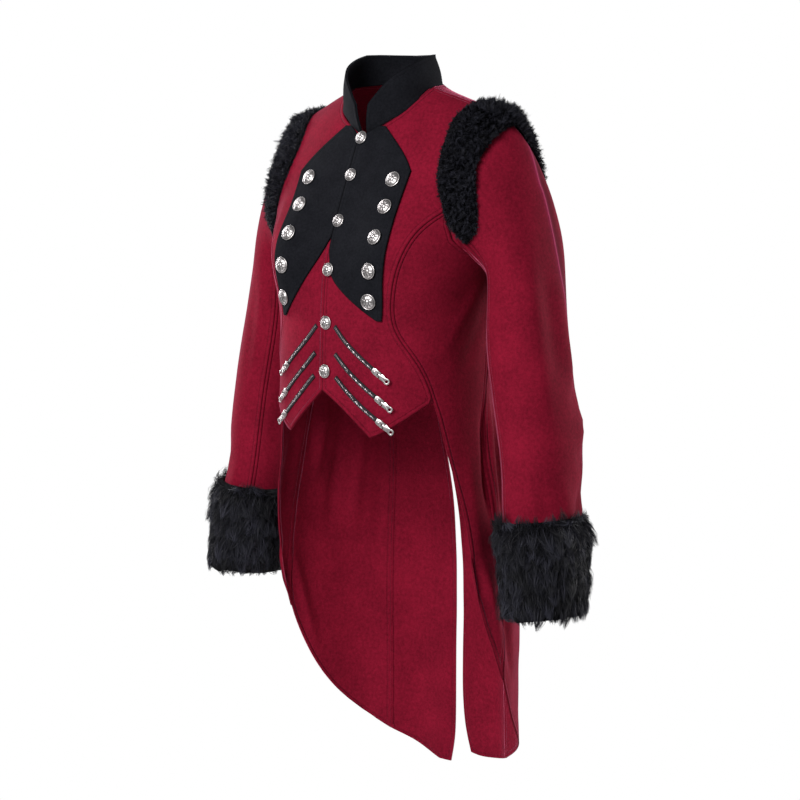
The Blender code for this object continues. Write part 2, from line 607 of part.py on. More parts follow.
# ---------------------------------------------------------------- sleeves
def armhole_ring(side):
    """The whole armhole, from the shoulder down the front and up the back."""
    ring = []
    for name in ("upper_front", "lower_front", "lower_back", "upper_back"):
        ring += armhole_stretch(side, name)[:-1]
    return ring


def section_at(side, place):
    """The sleeve's section at a place counted in rows of its table."""
    rows = range(len(SLEEVE))
    section = Section(*[smooth_through(rows, [getattr(s, name) for s in SLEEVE], place)
                        for name in Section._fields])
    raised = RIGHT_CUFF_RAISE * (place / rows[-1])**CUFF_RAISE_POWER if side < 0 else 0.0
    return section._replace(out_z=section.out_z + raised, in_z=section.in_z + raised)


def section_point(side, section, turn, grow=0.0):
    """A point of a sleeve section: turn 0 is its front, 90 its outer side."""
    middle = Vector(((section.out_x + section.in_x) / 2, (section.front_y + section.back_y) / 2,
                     (section.out_z + section.in_z) / 2))
    outward = Vector((section.out_x - section.in_x, 0.0, section.out_z - section.in_z)) / 2
    forward = Vector((0.0, section.front_y - section.back_y, 0.0)) / 2
    outward *= 1 + grow / outward.length
    forward *= 1 + grow / forward.length
    power = 2 / SLEEVE_SQUARENESS
    sine = math.sin(math.radians(turn))
    cosine = math.cos(math.radians(turn))
    point = (middle + outward * math.copysign(abs(sine)**power, sine)
             + forward * math.copysign(abs(cosine)**power, cosine))
    point.x = max(point.x, body_half_width(point.y, point.z) + ARM_CLEARANCE)
    return Vector((side * point.x, point.y, point.z))


def body_half_width(y, z):
    """How far out the body reaches at a depth and a height."""
    ring = ring_at(z)
    if y < ring.side_y:
        part = (y - ring.side_y) / (ring.front_y - ring.side_y)
        squareness = ring.front_n
    else:
        part = (y - ring.side_y) / (ring.back_y - ring.side_y)
        squareness = ring.back_n
    if part >= 1:
        return 0.0
    return ring.half_width * (1 - part**squareness)**(1 / squareness)


def sleeve_turns(side):
    """The turn of each sleeve column, from where its point lies in the armhole."""
    points = [body(side, phi, z) for phi, z in armhole_ring(side)]
    mid_y = (max(p.y for p in points) + min(p.y for p in points)) / 2
    mid_z = (max(p.z for p in points) + min(p.z for p in points)) / 2
    half_y = max(p.y for p in points) - mid_y
    half_z = max(p.z for p in points) - mid_z
    turns = []
    for p in points:
        turn = math.degrees(math.atan2((p.z - mid_z) / half_z, (mid_y - p.y) / half_y))
        turns.append(turn)
    return turns


def head_direction(side, turn):
    """The way the cloth leaves the armhole: outward over the shoulder, mostly down below it."""
    sine = math.sin(math.radians(turn))
    cosine = math.cos(math.radians(turn))
    outward = HEAD_LEAVE["outward"] + HEAD_LEAVE["more_outward"] * math.sqrt((1 + sine) / 2)
    down = HEAD_LEAVE["down"] - HEAD_LEAVE["less_down"] * sine
    return Vector((side * outward, -HEAD_LEAVE["forward"] * cosine, -down)).normalized()


def sleeve_head_point(side, start, end, turn, t):
    """A point of the sleeve head, on a curve from the armhole into the first section."""
    length = (end - start).length
    leave = head_direction(side, turn) * length * HEAD_FLARE
    arrive = Vector((side * HEAD_HANG[0], *HEAD_HANG[1:])) * length * HEAD_SETTLE
    point = ((2 * t**3 - 3 * t**2 + 1) * start + (t**3 - 2 * t**2 + t) * leave
             + (3 * t**2 - 2 * t**3) * end + (t**3 - t**2) * arrive)
    clear = body_half_width(point.y, point.z) + ARMHOLE_GAP + (ARM_CLEARANCE - ARMHOLE_GAP) * t
    return Vector((side * max(abs(point.x), clear), point.y, point.z))


def sleeve_grid(side):
    """The sleeve's outer points: the head from the armhole's ring, then the table's sections."""
    turns = sleeve_turns(side)
    ring = [body(side, phi, z) + Vector((side * ARMHOLE_GAP, 0, 0)) for phi, z in armhole_ring(side)]
    first = [section_point(side, section_at(side, 0), turn) for turn in turns]
    rows = [ring]
    for k in range(1, HEAD_ROWS):
        rows.append([sleeve_head_point(side, a, b, turn, k / HEAD_ROWS)
                     for a, b, turn in zip(ring, first, turns)])
    rows.append(first)
    for place in range(1, SLEEVE_LAST + 1):
        section = section_at(side, place)
        rows.append([section_point(side, section, turn) for turn in turns])
    return rows


def make_sleeve(side, suffix):
    """Top and under sleeve, cut from one tube along the front and back seams."""
    outer = sleeve_grid(side)
    middles = [sum(row, Vector()) / len(row) for row in outer]
    normals = grid_normals(outer, lambda point, r: point - middles[r], closed=True)
    inner = [[p - n * CLOTH for p, n in zip(*lines)] for lines in zip(outer, normals)]
    count = len(outer[0])
    for name, (first, last) in (("sleeve_top", TOP_SLEEVE), ("sleeve_under", UNDER_SLEEVE)):
        picked = [c % count for c in range(first, last + 1)]
        own_outer = [[row[c].copy() for c in picked] for row in outer]
        own_inner = [[row[c].copy() for c in picked] for row in inner]
        for grid in (own_outer, own_inner):
            pull_back(grid, "first_column", SEAM_GAP / 2)
            pull_back(grid, "last_column", SEAM_GAP / 2)
        wall_between(f"{name}_{suffix}", own_outer, own_inner, "red_wool")


# ---------------------------------------------------------------- collar
def make_collar(side, name):
    """Half of the stand collar, from its rounded front edge to the centre back."""
    outer = []
    cuts = NECK_FRONT + NECK_BACK[1:]
    for station in COLLAR:
        foot_z = smooth_through([c.phi for c in cuts], [c.z for c in cuts], station.neck_phi)
        foot = body(side, station.neck_phi, foot_z)
        top = Vector((side * station.top_x, station.top_y, station.top_z))
        rise = (top - foot).normalized()
        foot = foot + rise * COLLAR_GAP
        away = Vector((foot.x, foot.y - BULGE_MIDDLE_Y, 0.0)).normalized()
        outer.append([foot.lerp(top, t) + away * COLLAR_BULGE * math.sin(math.pi * t)
                      for t in COLLAR_LEVELS])
    normals = grid_normals(outer, lambda point, r: Vector((point.x, point.y - NECK_MIDDLE_Y, 0.0)))
    inner = [[p - n * COLLAR_WALL for p, n in zip(*lines)] for lines in zip(outer, normals)]
    for grid in (outer, inner):
        grid[-1] = [Vector((side * SEAM_GAP / 2, point.y, point.z)) for point in grid[-1]]
    wall_between(name, outer, inner, "black_velvet")


# ---------------------------------------------------------------- plastron
def plastron_grid(side, lift):
    """The plastron's points on the front, moved out.  The right one keeps clear of the left
    one's closing edge by a whole gap more."""
    outer_edge = sorted(PLASTRON_OUTER)
    inner_edge = sorted(PLASTRON_INNER[side])
    grid = []
    for z in PLASTRON_ROWS:
        inner_x = smooth_through([e.z for e in inner_edge], [e.x for e in inner_edge], z)
        outer_x = smooth_through([e.z for e in outer_edge], [e.x for e in outer_edge], z)
        inner_x += SEAM_GAP * (1 if side > 0 else 2)
        grid.append([on_front(side, inner_x + (outer_x - inner_x) * t, z, lift)[0]
                     for t in np.linspace(0.0, 1.0, PLASTRON_COLUMNS)])
    return grid


def make_plastron(side, name):
    """The black facing that lies on the front, from the collar to its low point."""
    wall_between(name, plastron_grid(side, PLASTRON_GAP + PLASTRON_WALL), plastron_grid(side, PLASTRON_GAP),
                 "black_velvet")


# ---------------------------------------------------------------- fur
# The armhole fur's width on the body and on each sleeve, from its front tip over the
# shoulder to its back tip, with the pile's height as a part of the full one.  Over the top
# it lies mostly on the body.  The right one reaches a little further down its sleeve, and
# the left one stands up more behind the shoulder.
FurStation = namedtuple("FurStation", "column on_body left_sleeve right_sleeve left_pile right_pile")
ARMHOLE_FUR = [
    FurStation(10, 0.0010, 0.0340, 0.0300, 0.50, 0.50),
    FurStation(9, 0.0095, 0.0460, 0.0400, 0.85, 0.85),
    FurStation(8, 0.0230, 0.0500, 0.0460, 1.00, 1.00),
    FurStation(7, 0.0330, 0.0420, 0.0380, 1.00, 1.00),
    FurStation(6, 0.0390, 0.0240, 0.0240, 1.00, 1.00),
    FurStation(5, 0.0440, 0.0070, 0.0170, 1.00, 1.00),
    FurStation(4, 0.0480, 0.0050, 0.0165, 1.00, 0.95),
    FurStation(2, 0.0570, 0.0050, 0.0170, 1.00, 0.85),
    FurStation(1, 0.0570, 0.0100, 0.0180, 1.10, 0.80),
    FurStation(0, 0.0550, 0.0170, 0.0200, 1.25, 0.80),
    FurStation(-1, 0.0440, 0.0240, 0.0240, 1.40, 0.80),
    FurStation(-2, 0.0360, 0.0350, 0.0350, 1.35, 0.75),
    FurStation(-4, 0.0270, 0.0490, 0.0490, 1.05, 0.60),
    FurStation(-6, 0.0220, 0.0550, 0.0550, 0.75, 0.55),
    FurStation(-8, 0.0130, 0.0400, 0.0400, 0.45, 0.50),
    FurStation(-9, 0.0060, 0.0200, 0.0200, 0.40, 0.40),
]
FUR_ACROSS = [-1.0, -0.8, -0.55, -0.3, 0.0, 0.25, 0.5, 0.75, 1.0]
FUR_EDGE_DROP = 0.82        # the part of the pile that is lost at the crescent's edges
FUR_EDGE_POWER = 2.5
RIDGE_COLUMNS = 2.5         # how far the ridge of the shoulder reaches, in columns
SPREAD_REACH = 0.025        # from the seam until the fur stands square to the sleeve


def fur_station(column):
    """The fur's width and height at a column of the armhole."""
    stations = sorted(ARMHOLE_FUR)
    places = [s.column for s in stations]
    return FurStation(column, *[smooth_through(places, [getattr(s, name) for s in stations], column)
                                for name in FurStation._fields[1:]])


def along_line(points, normals, distance):
    """The place at a distance along a line of points, and the normal there."""
    for i in range(len(points) - 1):
        length = (points[i + 1] - points[i]).length
        if distance <= length:
            t = distance / length
            return points[i].lerp(points[i + 1], t), normals[i].lerp(normals[i + 1], t).normalized()
        distance -= length
    return points[-1], normals[-1]


def make_armhole_fur(side, name):
    """A crescent of fur over the armhole seam, half on the body and half on the sleeve."""
    ring = armhole_ring(side)
    sleeve = sleeve_grid(side)
    middles = [sum(row, Vector()) / len(row) for row in sleeve]
    normals = grid_normals(sleeve, lambda point, r: point - middles[r], closed=True)
    count = len(ring)
    body_steps = [t for t in reversed(FUR_ACROSS) if t <= 0]
    under = []
    over = []
    for column in range(ARMHOLE_FUR[0].column, ARMHOLE_FUR[-1].column - 1, -1):
        station = fur_station(column)
        phi, z = ring[column % count]
        here = body(side, phi, z)
        out = body_normal(side, phi, z)
        ahead = body(side, *ring[(column + 1) % count])
        behind = body(side, *ring[(column - 1) % count])
        onto_body = (ahead - behind).cross(out).normalized()
        if onto_body.x * side > 0:
            onto_body.negate()
        column_line = [row[column % count] for row in sleeve]
        column_normals = [row[column % count] for row in normals]
        spread = (out + normals[1][column % count]).normalized()
        on_sleeve = station.left_sleeve if side > 0 else station.right_sleeve
        highest = FUR_PILE * (station.left_pile if side > 0 else station.right_pile)
        low = []
        high = []
        near = {0.0: (phi, z)}
        for t, before in zip(body_steps[1:], body_steps):
            near[t] = nearest_on_body(side, here - onto_body * station.on_body * t, *near[before])
        for t in FUR_ACROSS:
            if t < 0:
                foot = body(side, *near[t])
                normal = body_normal(side, *near[t])
                gap = FUR_GAP + FUR_RIDGE_GAP * math.exp(-(column / RIDGE_COLUMNS)**2)
            else:
                foot, normal = along_line(column_line, column_normals, on_sleeve * t)
                normal = spread.lerp(normal, min(1.0, on_sleeve * t / SPREAD_REACH)).normalized()
                gap = FUR_SLEEVE_GAP
            pile = highest * (1 - FUR_EDGE_DROP * abs(t)**FUR_EDGE_POWER)
            lean = normal.lerp(spread, 0.5).normalized()
            low.append(foot + normal * gap)
            high.append(foot + normal * gap + lean * pile)
        under.append(low)
        over.append(high)
    wall_between(name, over, under, "black_fur")


CuffRow = namedtuple("CuffRow", "place pile")     # place counted in the sleeve's sections
CUFF = [CuffRow(6.62, 0.0085), CuffRow(6.88, 0.0140), CuffRow(7.40, 0.0165), CuffRow(8.00, 0.0165),
        CuffRow(8.65, 0.0140), CuffRow(9.00, 0.0080)]


def make_cuff(side, name):
    """The fur cuff, a soft tube over the sleeve's end and beyond it."""
    turns = sleeve_turns(side)
    outer = []
    inner = []
    for row in CUFF:
        section = section_at(side, row.place)
        outer.append([section_point(side, section, turn, CUFF_GAP + row.pile) for turn in turns])
        inner.append([section_point(side, section, turn, CUFF_GAP) for turn in turns])
    wall_between(name, outer, inner, "black_fur", closed=True)


# ---------------------------------------------------------------- buttons
def make_button(name, point, normal, radius):
    """A domed button on its flat back, its axis along the outward direction."""
    bm = bmesh.new()
    rim = [(radius * across, BUTTON_HEIGHT * up) for across, up in BUTTON_PROFILE]
    profile = [(0.0, 0.0)] + rim + [(0.0, BUTTON_HEIGHT)]
    verts = [bm.verts.new((r, 0.0, h)) for r, h in profile]
    edges = [bm.edges.new(pair) for pair in zip(verts, verts[1:])]
    bmesh.ops.spin(bm, geom=verts + edges, cent=(0, 0, 0), axis=(0, 0, 1), angle=math.tau,
                   steps=BUTTON_SIDES, use_merge=True)
    bmesh.ops.remove_doubles(bm, verts=bm.verts, dist=1e-6)
    button = make_object(name, bm, "silver")
    turn = normal.to_track_quat("Z", "Y").to_matrix().to_4x4()
    button.matrix_world = Matrix.Translation(point) @ turn


def make_buttons():
    """Five on each plastron and six down the closing edge."""
    for side, suffix in ((1, "left"), (-1, "right")):
        for i, spot in enumerate(PLASTRON_BUTTONS[side]):
            lift = PLASTRON_GAP + PLASTRON_WALL + LAY_GAP
            point, normal = on_front(side, spot.x, spot.z, lift)
            make_button(f"button_plastron_{suffix}_{i + 1}", point, normal, PLASTRON_BUTTON)
    for i, z in enumerate(FRONT_BUTTONS):
        on_plastron = z > PLASTRON_NOTCH_Z
        lift = LAY_GAP + (PLASTRON_GAP + PLASTRON_WALL if on_plastron else 0.0)
        point, normal = on_front(1, CLOSING_X, z, lift)
        normal = Vector((0.0, normal.y, normal.z)).normalized()
        make_button(f"button_front_{i + 1}", point, normal, FRONT_BUTTON)


# ---------------------------------------------------------------- zips
def zip_path(side, spots, steps):
    """Smooth (x, z) places along a zip."""
    curve = spline([Cut(s.x, s.z) for s in spots], 12)
    picks = np.linspace(0, len(curve) - 1, steps + 1).round().astype(int)
    return [curve[i] for i in picks]


def zip_end_frame(side, spots):
    """The slider's place: x along the zip, z outward, on the tape's level."""
    path = zip_path(side, spots, ZIP_END_CELLS)
    end, normal = on_front(side, path[-1][0], path[-1][1], LAY_GAP)
    before, _ = on_front(side, path[-2][0], path[-2][1], LAY_GAP)
    forward = (end - before).normalized()
    forward = (forward - normal * forward.dot(normal)).normalized()
    across = normal.cross(forward)
    matrix = Matrix((forward, across, normal)).transposed().to_4x4()
    matrix.translation = end
    return matrix


def make_zip(side, name, spots):
    """The closed row of teeth on its tape, a low strip that follows the front."""
    outer = []
    inner = []
    for x, z in zip_path(side, spots, ZIP_CELLS):
        here, normal = on_front(side, x, z)
        nearby, _ = on_front(side, x + ZIP_STEP[0], z + ZIP_STEP[1])
        forward = (nearby - here).normalized()
        across = normal.cross(forward).normalized() * ZIP_WIDTH / 2
        outer.append([here + normal * (LAY_GAP + ZIP_HEIGHT) + across * t for t in (-1, 0, 1)])
        inner.append([here + normal * LAY_GAP + across * t for t in (-1, 0, 1)])
    wall_between(name, outer, inner, "dark_zip")


def make_slider(name, frame):
    """The slider past the last tooth: a body with a fork that holds the pull tab."""
    start = SEAM_GAP
    long_end = start + SLIDER["length"]
    fork_start = long_end - SLIDER["fork"]
    half = SLIDER["width"] / 2
    slot = SLIDER["slot"] / 2
    nose_end = start + SLIDER["nose_length"]
    nose = half * SLIDER["nose_width"]
    outline = [(start, -nose), (nose_end, -half), (fork_start, -half), (long_end, -half),
               (long_end, -slot), (fork_start, -slot), (fork_start, slot), (long_end, slot),
               (long_end, half), (fork_start, half), (nose_end, half), (start, nose)]
    bm = bmesh.new()
    verts = [bm.verts.new((x, y, 0.0)) for x, y in outline]
    order = [(0, 1, 10, 11), (1, 2, 5, 6, 9, 10), (2, 3, 4, 5), (6, 7, 8, 9)]
    faces = [bm.faces.new([verts[i] for i in ring]) for ring in order]
    raised = bmesh.ops.extrude_face_region(bm, geom=faces)
    lifted = [v for v in raised["geom"] if isinstance(v, bmesh.types.BMVert)]
    bmesh.ops.translate(bm, verts=lifted, vec=(0, 0, SLIDER["height"]))
    slider = make_object(name, bm, "silver", smooth=False)
    slider.matrix_world = frame


def make_tab(name, frame):
    """The pull tab, a plate with a hole, its origin on its hinge in the slider's fork."""
    hinge_x = SEAM_GAP + SLIDER["length"] - SLIDER["fork"] / 2
    half_height = TAB["height"] / 2
    half = TAB["width"] / 2
    hole_x = TAB["length"] - half
    sides = TAB["sides"]
    bm = bmesh.new()
    rim = []
    bore = []
    for k in range(sides):
        turn = math.tau * (k + 0.5) / sides
        bore.append(bm.verts.new((hole_x + TAB["hole"] * math.cos(turn), TAB["hole"] * math.sin(turn),
                                  -half_height)))
        reach = half / max(abs(math.sin(turn)), abs(math.cos(turn)), TAB["corner"])
        x = hole_x + reach * math.cos(turn)
        y = reach * math.sin(turn)
        rim.append(bm.verts.new((x, y, -half_height)))
    faces = []
    for k in range(sides):
        n = (k + 1) % sides
        faces.append(bm.faces.new((bore[k], bore[n], rim[n], rim[k])))
    back = sides // 2
    low = rim[back]
    high = rim[back - 1]
    shoulder = []
    for y in (-half, -TAB["tongue"] / 2, TAB["tongue"] / 2, half):
        shoulder.append(bm.verts.new((TAB["shoulder"], y, -half_height)))
    tip = []
    for y in (-TAB["tongue"] / 2, TAB["tongue"] / 2):
        tip.append(bm.verts.new((-half_height, y, -half_height)))
    faces.append(bm.faces.new((rim[back + 1], low, shoulder[1], shoulder[0])))
    faces.append(bm.faces.new((low, high, shoulder[2], shoulder[1])))
    faces.append(bm.faces.new((high, rim[back - 2], shoulder[3], shoulder[2])))
    faces.append(bm.faces.new((shoulder[1], shoulder[2], tip[1], tip[0])))
    raised = bmesh.ops.extrude_face_region(bm, geom=faces)
    lifted = [v for v in raised["geom"] if isinstance(v, bmesh.types.BMVert)]
    bmesh.ops.translate(bm, verts=lifted, vec=(0, 0, TAB["height"]))
    tab = make_object(name, bm, "silver", smooth=False)
    tab.matrix_world = frame @ Matrix.Translation((hinge_x, 0.0, HINGE_HEIGHT))


def make_zips():
    """Three zips slanting out and down on each front, each with its slider and tab."""
    for side, suffix in ((1, "left"), (-1, "right")):
        for level, spots in ZIPS.items():
            frame = zip_end_frame(side, spots)
            make_zip(side, f"zip_{level}_{suffix}", spots)
            make_slider(f"slider_{level}_{suffix}", frame)
            make_tab(f"tab_{level}_{suffix}", frame)


# ---------------------------------------------------------------- build
def main():
    """Clears the scene and makes each piece."""
    for old in list(bpy.data.objects):
        bpy.data.objects.remove(old, do_unlink=True)
    for side, suffix in ((1, "left"), (-1, "right")):
        make_front(side, f"front_{suffix}")
        make_side(side, f"side_{suffix}")
        make_side_back(side, f"side_back_{suffix}")
        make_back(side, f"back_{suffix}")
        make_sleeve(side, suffix)
        make_collar(side, f"collar_{suffix}")
        make_plastron(side, f"plastron_{suffix}")
        make_armhole_fur(side, f"fur_armhole_{suffix}")
        make_cuff(side, f"fur_cuff_{suffix}")
    make_buttons()
    make_zips()


main()
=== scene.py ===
# %% [markdown]
# # A cropped tailcoat with fur at the armholes and cuffs
# The coat comes packed as a frame: one solid for each piece that a maker would cut. This
# lesson dresses that frame. Every cloth panel gets soft creases and a woollen nap, the fur
# gets real strands, and the buttons and zips get their small metal forms. All sizes are in
# metres, +Z is up, the front faces -Y and the wearer's left is +X.

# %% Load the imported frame
import json
import math
from collections import namedtuple

import bmesh
import bpy
import numpy as np
from mathutils import Matrix, Vector
from mathutils.bvhtree import BVHTree
from mathutils.kdtree import KDTree


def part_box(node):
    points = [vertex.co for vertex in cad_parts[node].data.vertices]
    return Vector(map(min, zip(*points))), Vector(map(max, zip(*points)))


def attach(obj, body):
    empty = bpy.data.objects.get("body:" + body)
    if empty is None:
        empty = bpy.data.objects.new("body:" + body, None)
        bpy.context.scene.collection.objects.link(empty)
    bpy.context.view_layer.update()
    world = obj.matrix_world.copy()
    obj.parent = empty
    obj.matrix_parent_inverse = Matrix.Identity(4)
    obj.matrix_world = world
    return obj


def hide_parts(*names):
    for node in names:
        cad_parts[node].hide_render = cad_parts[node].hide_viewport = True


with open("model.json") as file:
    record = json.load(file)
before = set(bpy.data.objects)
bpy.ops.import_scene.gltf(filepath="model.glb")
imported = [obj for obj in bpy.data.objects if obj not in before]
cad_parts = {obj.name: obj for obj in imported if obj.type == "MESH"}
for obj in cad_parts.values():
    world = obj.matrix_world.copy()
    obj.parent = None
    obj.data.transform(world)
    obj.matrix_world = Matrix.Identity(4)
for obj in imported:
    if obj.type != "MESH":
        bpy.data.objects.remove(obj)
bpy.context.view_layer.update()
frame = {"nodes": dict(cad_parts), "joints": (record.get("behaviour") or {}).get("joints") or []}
SIDES = {"left": 1, "right": -1}
COAT = "coat"

# %% [markdown]
# ## Camera, floor and light
# The camera stands at the wearer's left front, nearly level and far off with a long lens,
# so that the coat keeps its proportions. The coat hangs as it would on a person, so the
# floor lies a person's height below the shoulders. Three soft lamps do what a studio does: a
# key from the coat's front, a tall strip that grazes the nap on its right, and one behind.

# %% Camera
LOOK_AT = Vector((0.0, 0.030, -0.393))
CAMERA_AZIMUTH = 40             # degrees from the coat's front towards the wearer's left
CAMERA_ELEVATION = 6
CAMERA_DISTANCE = 3.70
PHOTO_SIZE = 800
FOCAL_PIXELS = 2849
SENSOR = 36.0
LOOK_AT_RISE = 9                # pixels by which the point looked at stands above the middle


def aimed(name, data, azimuth, elevation, distance):
    """A camera or lamp that looks at the coat from a direction round it, in degrees."""
    azimuth, elevation = math.radians(azimuth), math.radians(elevation)
    away = Vector((math.sin(azimuth) * math.cos(elevation),
                   -math.cos(azimuth) * math.cos(elevation), math.sin(elevation)))
    made = bpy.data.objects.new(name, data)
    bpy.context.scene.collection.objects.link(made)
    made.location = LOOK_AT + away * distance
    made.rotation_euler = (-away).to_track_quat("-Z", "Y").to_euler()
    return made


camera_data = bpy.data.cameras.new("camera")
camera_data.sensor_width = SENSOR
camera_data.lens = FOCAL_PIXELS * SENSOR / PHOTO_SIZE
camera_data.shift_y = -LOOK_AT_RISE / PHOTO_SIZE
camera_data.clip_end = 50
bpy.context.scene.camera = aimed("camera", camera_data, CAMERA_AZIMUTH, CAMERA_ELEVATION,
                                 CAMERA_DISTANCE)
bpy.context.scene.view_settings.view_transform = "Standard"
print("camera lens", round(camera_data.lens, 1), "mm")

# %% Lamps
Lamp = namedtuple("Lamp", "name azimuth elevation distance width height power colour")
LAMPS = [
    Lamp("key", 4, 27, 2.6, 1.1, 1.1, 66, (1.0, 0.985, 0.975)),
    Lamp("strip", -92, 22, 2.2, 0.5, 1.8, 38, (1.0, 0.97, 0.98)),
    Lamp("back", 150, 10, 2.4, 0.8, 1.6, 52, (1.0, 0.985, 0.975)),
]


def add_lamp(lamp):
    """A rectangular soft lamp aimed at the coat."""
    data = bpy.data.lights.new(lamp.name, "AREA")
    data.shape = "RECTANGLE"
    data.size = lamp.width
    data.size_y = lamp.height
    data.energy = lamp.power
    data.color = lamp.colour
    aimed(lamp.name, data, lamp.azimuth, lamp.elevation, lamp.distance)


for lamp in LAMPS:
    add_lamp(lamp)
print("lamps", [lamp.name for lamp in LAMPS])

# %% Pale surroundings
# They light the coat a little, and the camera sees them as white.
SURROUND_LIGHT = 0.20
SURROUND_SEEN = 1.0
world = bpy.data.worlds.new("surroundings")
bpy.context.scene.world = world
world.use_nodes = True
world_nodes = world.node_tree.nodes
world_links = world.node_tree.links
lit = world_nodes["Background"]
seen = world_nodes.new("ShaderNodeBackground")
for background, strength in ((lit, SURROUND_LIGHT), (seen, SURROUND_SEEN)):
    background.inputs["Color"].default_value = (1, 1, 1, 1)
    background.inputs["Strength"].default_value = strength
rays = world_nodes.new("ShaderNodeLightPath")
either = world_nodes.new("ShaderNodeMixShader")
world_links.new(rays.outputs["Is Camera Ray"], either.inputs["Fac"])
world_links.new(lit.outputs["Background"], either.inputs[1])
world_links.new(seen.outputs["Background"], either.inputs[2])
world_links.new(either.outputs["Shader"], world_nodes["World Output"].inputs["Surface"])
print("surroundings at", SURROUND_LIGHT)

# %% Floor
FLOOR_BELOW = 1.42              # from the shoulders down to the floor
FLOOR_RADIUS = 1.6


def new_object(name, bm, material=None):
    """A mesh object at the origin from a finished bmesh."""
    mesh = bpy.data.meshes.new(name)
    bm.to_mesh(mesh)
    bm.free()
    made = bpy.data.objects.new(name, mesh)
    bpy.context.scene.collection.objects.link(made)
    if material:
        mesh.materials.append(material)
    return made


def set_inputs(node, **values):
    """Sets a node's sockets by name, with _ for a space."""
    for name, value in values.items():
        node.inputs[name.replace("_", " ")].default_value = value


def new_material(name, **values):
    """A material whose Principled shader has these settings."""
    made = bpy.data.materials.new(name)
    made.use_nodes = True
    set_inputs(made.node_tree.nodes["Principled BSDF"], **values)
    return made


floor_material = new_material("pale_floor", Base_Color=(0.86, 0.86, 0.86, 1), Roughness=0.7)
bm = bmesh.new()
bmesh.ops.create_circle(bm, cap_ends=True, segments=96, radius=FLOOR_RADIUS,
                        matrix=Matrix.Translation((0, 0, -FLOOR_BELOW)))
new_object("floor", bm, floor_material)
print("floor", FLOOR_BELOW, "m below the shoulders")

# %% [markdown]
# ## Finishes shared by several materials
# Wool and felt are a mat of fine hair: seen close, the colour wavers a little from hair to
# hair and the surface is a fine grain, with slightly larger clouds where the nap lies
# another way. One node group makes that colour factor and height for any cloth, and each
# material sets its own sizes. A second group draws the pressed edge and the row of
# stitches that run beside a seam, from a distance that every panel carries as a map.

# %% A nap for any brushed cloth


def new_group(name, inputs, outputs):
    """An empty shader group with float inputs and outputs, given as name: default."""
    group = bpy.data.node_groups.new(name, "ShaderNodeTree")
    for socket, default in inputs.items():
        kind = "NodeSocketVector" if isinstance(default, tuple) else "NodeSocketFloat"
        made = group.interface.new_socket(socket, in_out="INPUT", socket_type=kind)
        made.default_value = default
    for socket in outputs:
        group.interface.new_socket(socket, in_out="OUTPUT", socket_type="NodeSocketFloat")
    return group, group.nodes.new("NodeGroupInput"), group.nodes.new("NodeGroupOutput")


def feed(tree, socket, value):
    """Gives a socket a number, a colour or another node's output."""
    if isinstance(value, (int, float, tuple)):
        socket.default_value = value
    else:
        tree.links.new(value, socket)


def maths(tree, operation, *operands):
    """A Math node; each operand is a number or another node's output."""
    node = tree.nodes.new("ShaderNodeMath")
    node.operation = operation
    for socket, value in zip(node.inputs, operands):
        feed(tree, socket, value)
    return node.outputs[0]


def weighted(tree, *pairs):
    """The sum of several values, each times its weight."""
    total = 0.0
    for value, weight in pairs:
        total = maths(tree, "MULTIPLY_ADD", value, weight, total)
    return total


def between(tree, value):
    """A value held between 0 and 1."""
    return maths(tree, "MINIMUM", maths(tree, "MAXIMUM", value, 0.0), 1.0)


def noise(tree, place, scale, detail=2.0, stretch=None):
    """A Noise texture's value, about 0 to 1."""
    node = tree.nodes.new("ShaderNodeTexNoise")
    node.inputs["Detail"].default_value = detail
    feed(tree, node.inputs["Scale"], scale)
    if stretch:
        mapping = tree.nodes.new("ShaderNodeMapping")
        mapping.inputs["Scale"].default_value = stretch
        tree.links.new(place, mapping.inputs["Vector"])
        place = mapping.outputs["Vector"]
    tree.links.new(place, node.inputs["Vector"])
    return node.outputs["Fac"]


FLECK_SCALE = 0.32              # the flecks' scale as a part of the grain's
nap_group, nap_in, nap_out = new_group(
    "brushed_nap", {"Place": (0.0, 0.0, 0.0), "Grain scale": 900.0, "Cloud scale": 30.0},
    ["Shade", "Height"])
place, grain_scale, cloud_scale = list(nap_in.outputs)[:3]
fine = noise(nap_group, place, grain_scale, 3.0)
cloud = noise(nap_group, place, cloud_scale, 3.0)
fleck = noise(nap_group, place, maths(nap_group, "MULTIPLY", grain_scale, FLECK_SCALE), 2.0)
shade = weighted(nap_group, (fine, 0.30), (cloud, 0.30), (fleck, 0.40))
raised = weighted(nap_group, (fine, 0.60), (fleck, 0.40))
nap_group.links.new(shade, nap_out.inputs["Shade"])
nap_group.links.new(raised, nap_out.inputs["Height"])
print("group", nap_group.name)

# %% A pressed edge with its stitches
STITCH_ROW = 0.0052             # from the panel's edge to the row
STITCH_PITCH = 0.0032
STITCH_SHARE = 0.7              # the thread shows on this part of a stitch
GROOVE_HALF = 0.0012            # half the width of the groove that the row lies in
GROOVE_DEPTH = 0.5              # as a part of the rounded edge's height
BETWEEN_STITCHES = 0.6          # the part of its depth that is left between two stitches
VALLEY = 0.0014                 # painted shade darkens the cloth this near to a seam

seam_group, seam_in, seam_out = new_group(
    "stitched_edge", {"Along": 0.0, "From edge": 0.0}, ["Height", "Thread", "Valley"])
along, from_edge = list(seam_in.outputs)[:2]


def nearness(tree, distance, reach):
    """1 where a distance is none, down to 0 where it is the reach or more."""
    share = maths(tree, "DIVIDE", distance, reach)
    return maths(tree, "MAXIMUM", maths(tree, "SUBTRACT", 1.0, share), 0.0)


